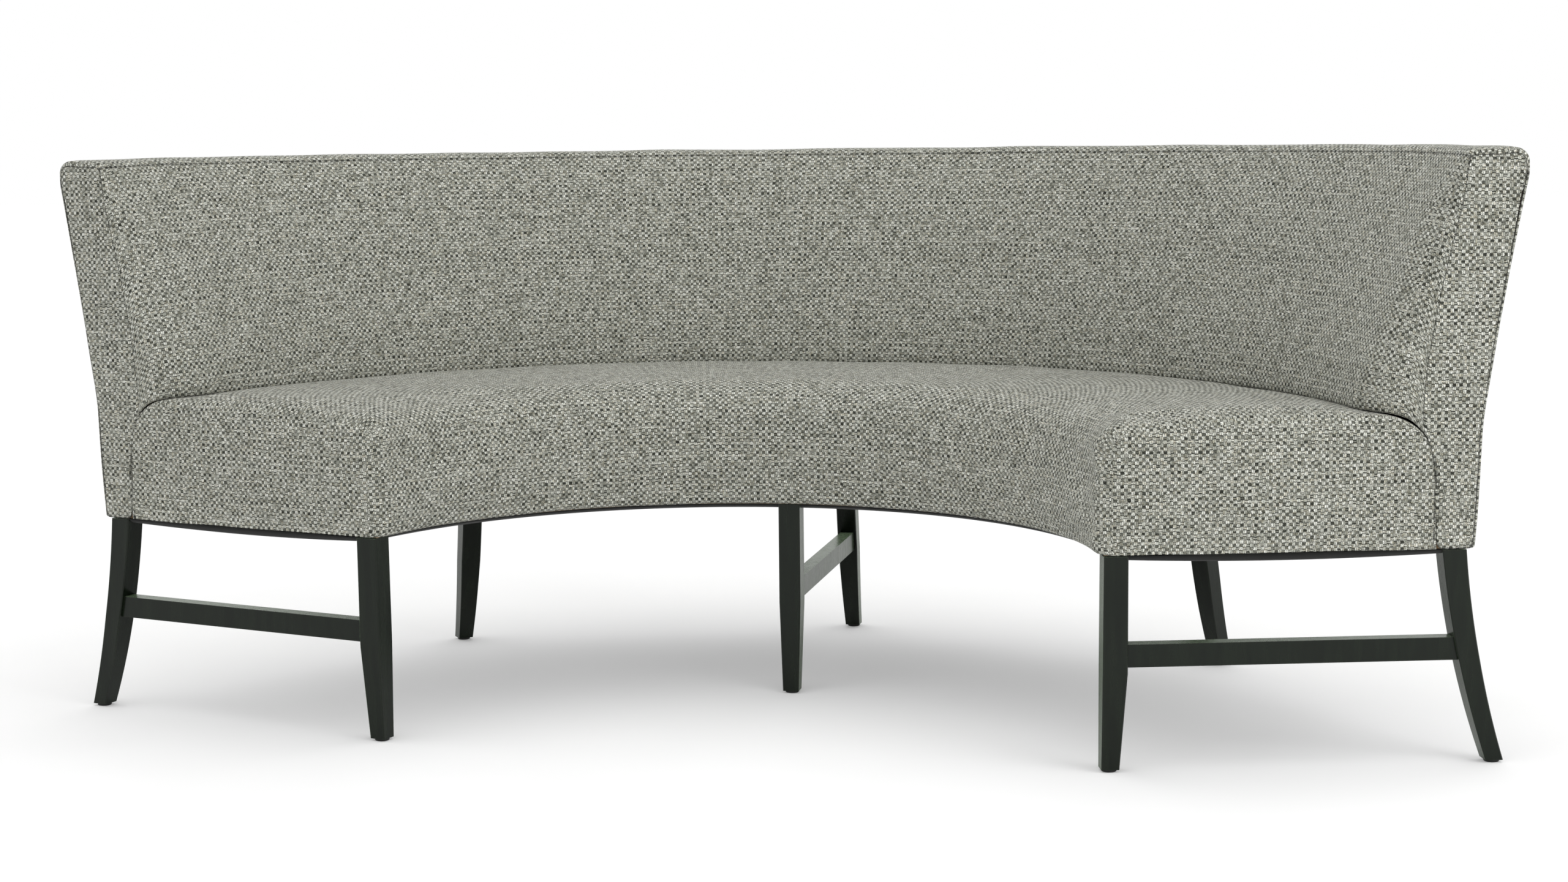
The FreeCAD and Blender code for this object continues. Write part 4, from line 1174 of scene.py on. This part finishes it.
@dataclass(frozen=True)
class Lamp:
    """One soft box."""

    name: str
    position: tuple[float, float, float]
    target: tuple[float, float, float]
    size: float
    power: float

    def build(self) -> None:
        """Add the lamp."""
        data = bpy.data.lights.new(self.name, "AREA")
        data.shape = "SQUARE"
        data.size = self.size
        data.energy = self.power
        lamp = bpy.data.objects.new(self.name, data)
        lamp.location = self.position
        aim = Vector(self.target) - Vector(self.position)
        lamp.rotation_euler = aim.to_track_quat("-Z", "Y").to_euler()
        bpy.context.scene.collection.objects.link(lamp)


@dataclass(frozen=True)
class Studio:
    """A pale floor, a white surround and soft light."""

    lift: float = 0.18
    lamps: tuple[Lamp, ...] = (
        Lamp("lamp_above", (0.2, 0.7, 3.2), (0.0, 0.1, 0.3), 2.4, 8.0),
        Lamp("lamp_right", (3.4, -1.8, 1.6), (0.6, -0.3, 0.4), 2.0, 28.0),
    )

    def build(self) -> None:
        """Add floor, world and lamps."""
        deselect()
        bpy.ops.mesh.primitive_plane_add(size=60, location=(0, 0, 0))
        floor = bpy.context.object
        floor.name = "floor"
        recipe = Recipe("studio_floor")
        place = recipe.place()
        tone = recipe.noise(place, 3.0, 2.0)
        colour = recipe.ramp(tone, (0.3, (236, 236, 236)), (0.7, (239, 239, 239)))
        glow = recipe.node("ShaderNodeLightPath", None, None, "Is Camera Ray") * self.lift
        floor.data.materials.append(recipe.surface({
            "Base Color": colour, "Roughness": 0.9, "Specular IOR Level": 0.0,
            "Emission Color": recipe.join(glow, glow, glow), "Emission Strength": 1.0}))
        world = bpy.data.worlds.new("surround")
        bpy.context.scene.world = world
        world.use_nodes = True
        ground = world.node_tree.nodes["Background"]
        ground.inputs["Color"].default_value = (1, 1, 1, 1)
        ground.inputs["Strength"].default_value = 1.0
        for lamp in self.lamps:
            lamp.build()
        bpy.context.scene.view_settings.view_transform = "Standard"


# The bench


@dataclass
class Bench:
    """All sub-assemblies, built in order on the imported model."""

    arc: Arc = field(default_factory=Arc)
    cover_thickness: float = 0.002
    panel_thickness: float = 0.0016
    dust_thickness: float = 0.0008
    seam_hold: float = 0.012
    foot: float = 0.316
    foot_blend: float = 0.03
    foot_wave: float = 0.09
    foot_rise: float = 0.0011
    materials: dict = field(default_factory=dict)
    node_starts: dict = field(default_factory=lambda: {
        Slot.STAINED: ("leg_", "stretcher_"),
        Slot.GLIDE: ("glide_",),
        Slot.FRAME: ("front_seat_rail", "back_seat_rail", "top_back_rail", "lower_back_rail",
                     "cross_rail_", "corner_blocks", "back_post_"),
        Slot.BOARD: ("outer_back_board",),
        Slot.WEBBING: ("back_webbing",),
        Slot.FELT: ("insulator_felt",),
        Slot.SPRING: ("seat_springs",),
        Slot.ZINC: ("spring_clips", "hanger_bolts", "threaded_inserts", "post_screws",
                    "top_rail_screws")})

    def dress(self, piece: bpy.types.Object, slot: Slot) -> None:
        """Give a piece the finish of a slot."""
        if slot not in self.materials:
            self.materials[slot] = FINISHES[slot].build()
        piece.data.materials.clear()
        piece.data.materials.append(self.materials[slot])

    def dress_frame(self) -> None:
        """Give the carried-over nodes their finishes."""
        for name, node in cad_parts.items():
            for slot, starts in self.node_starts.items():
                if name.startswith(starts):
                    self.dress(node, slot)
                    log.info("%s dressed as %s", name, slot.value)

    def finish_sheet(self, piece: bpy.types.Object, thickness: float, slot: Slot) -> None:
        """Give a sheet its thickness, its smooth form and its finish."""
        use_modifier(piece, "SUBSURF", levels=1, render_levels=1)
        use_modifier(piece, "SOLIDIFY", thickness=thickness, offset=-1.0)
        pick(piece)
        bpy.ops.object.shade_smooth()
        self.dress(piece, slot)
        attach(piece, "root")
        log.info("%s has %d faces", piece.name, len(piece.data.polygons))

    def inside(self, radius: float, height: float) -> Callable[[np.ndarray], np.ndarray]:
        """Make a function that points from places on a cover to its inside."""
        limit = 1.25

        def towards(points: np.ndarray) -> np.ndarray:
            """Point from each place to the ring inside the cover."""
            angles = np.arctan2(points[:, 0], points[:, 1] - self.arc.centre_y)
            angles = np.clip(angles, -limit, limit)
            goal = np.stack([radius * np.sin(angles), self.arc.centre_y + radius * np.cos(angles),
                             np.full(len(points), height)], axis=1)
            return goal - points
        return towards

    def ripple(self, piece: bpy.types.Object, size: float, wave: float, seed: float) -> None:
        """Give cloth the slight unevenness of foam under it, and its foot a slight wave."""
        mesh = piece.data
        points, normals = read(mesh.vertices, "co"), read(mesh.vertices, "normal")
        lifts = np.array([noise.noise(Vector(point) / wave + Vector((seed, 0, 0)))
                          for point in points])
        keep = rise(points[:, 2], self.foot, self.foot_blend)
        waves = np.array([noise.noise(Vector((x, y, 0)) / self.foot_wave) for x, y, _ in points])
        points += normals * (lifts * size * keep)[:, None]
        points[:, 2] += waves * self.foot_rise * (1 - keep)
        mesh.vertices.foreach_set("co", points.ravel())
        mesh.update()

    def measure(self, piece: bpy.types.Object) -> tuple[np.ndarray, np.ndarray, np.ndarray]:
        """Measure a cover's vertices.

        Args:
            piece: The cover.

        Returns:
            Their radii, their heights and how close they are to a seam, from 0 to 1.
        """
        points = read(piece.data.vertices, "co")
        gaps = read(piece.data.attributes["seam_gap"].data, "value", 1)
        radii = np.hypot(points[:, 0], points[:, 1] - self.arc.centre_y)
        return radii, points[:, 2], 1 - rise(gaps, 0, self.seam_hold)

    def build_seat(self) -> SeatCushion:
        """Make the seat's cover."""
        maker = SeatCushion(self.arc)
        piece = maker.build()
        face_outwards(piece, self.inside(0.80, 0.42))
        radii, heights, seams = self.measure(piece)
        puff(piece, np.maximum.reduce([1 - rise(heights, 0.317, 0.02), rise(radii, 0.915, 0.02),
                                       seams * 0.5]), 0.006)
        self.ripple(piece, 0.0016, 0.11, 3.0)
        self.finish_sheet(piece, self.cover_thickness, Slot.FABRIC)
        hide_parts("seat_cover", "seat_foam")
        return maker

    def build_back(self, seat: SeatCushion) -> None:
        """Make the back's cover."""
        piece = BackCushion(self.arc, seat=seat).build()
        face_outwards(piece, self.inside(1.06, 0.60))
        radii, heights, seams = self.measure(piece)
        low = (1 - rise(heights, 0.515, 0.03)) * (radii < 1.02)
        outer = (radii > 1.085 + 0.1667 * (heights - 0.49)).astype(float)
        held = np.maximum.reduce([low, outer, seams * 0.9, (heights < 0.33).astype(float)])
        puff(piece, held, 0.007 - 0.0058 * rise(heights, 0.855, 0.017))
        self.ripple(piece, 0.0018, 0.13, 8.0)
        self.finish_sheet(piece, self.cover_thickness, Slot.FABRIC)
        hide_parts("back_cover", "back_foam")

    def build_outside(self) -> None:
        """Make the outside panel."""
        piece = OutsidePanel(self.arc).build()
        face_outwards(piece, self.inside(1.05, 0.60))
        self.ripple(piece, 0.0008, 0.16, 5.0)
        self.finish_sheet(piece, self.panel_thickness, Slot.FABRIC)
        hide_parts("outside_back_cover")

    def build_dust_cover(self) -> None:
        """Make the dust cover."""
        piece = DustCover(self.arc).build()
        face_outwards(piece, lambda points: np.tile([0.0, 0.0, 1.0], (len(points), 1)))
        self.finish_sheet(piece, self.dust_thickness, Slot.DUST)
        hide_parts("dust_cover")


def write_sizes() -> None:
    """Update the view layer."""
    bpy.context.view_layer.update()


def main() -> None:
    """Build the bench and its studio."""
    logging.basicConfig(level=logging.INFO, format="%(name)s: %(message)s")
    Viewpoint().build()
    Studio().build()
    bench = Bench()
    bench.dress_frame()
    seat = bench.build_seat()
    bench.build_back(seat)
    bench.build_outside()
    bench.build_dust_cover()
    write_sizes()


if __name__ == "__main__":
    main()
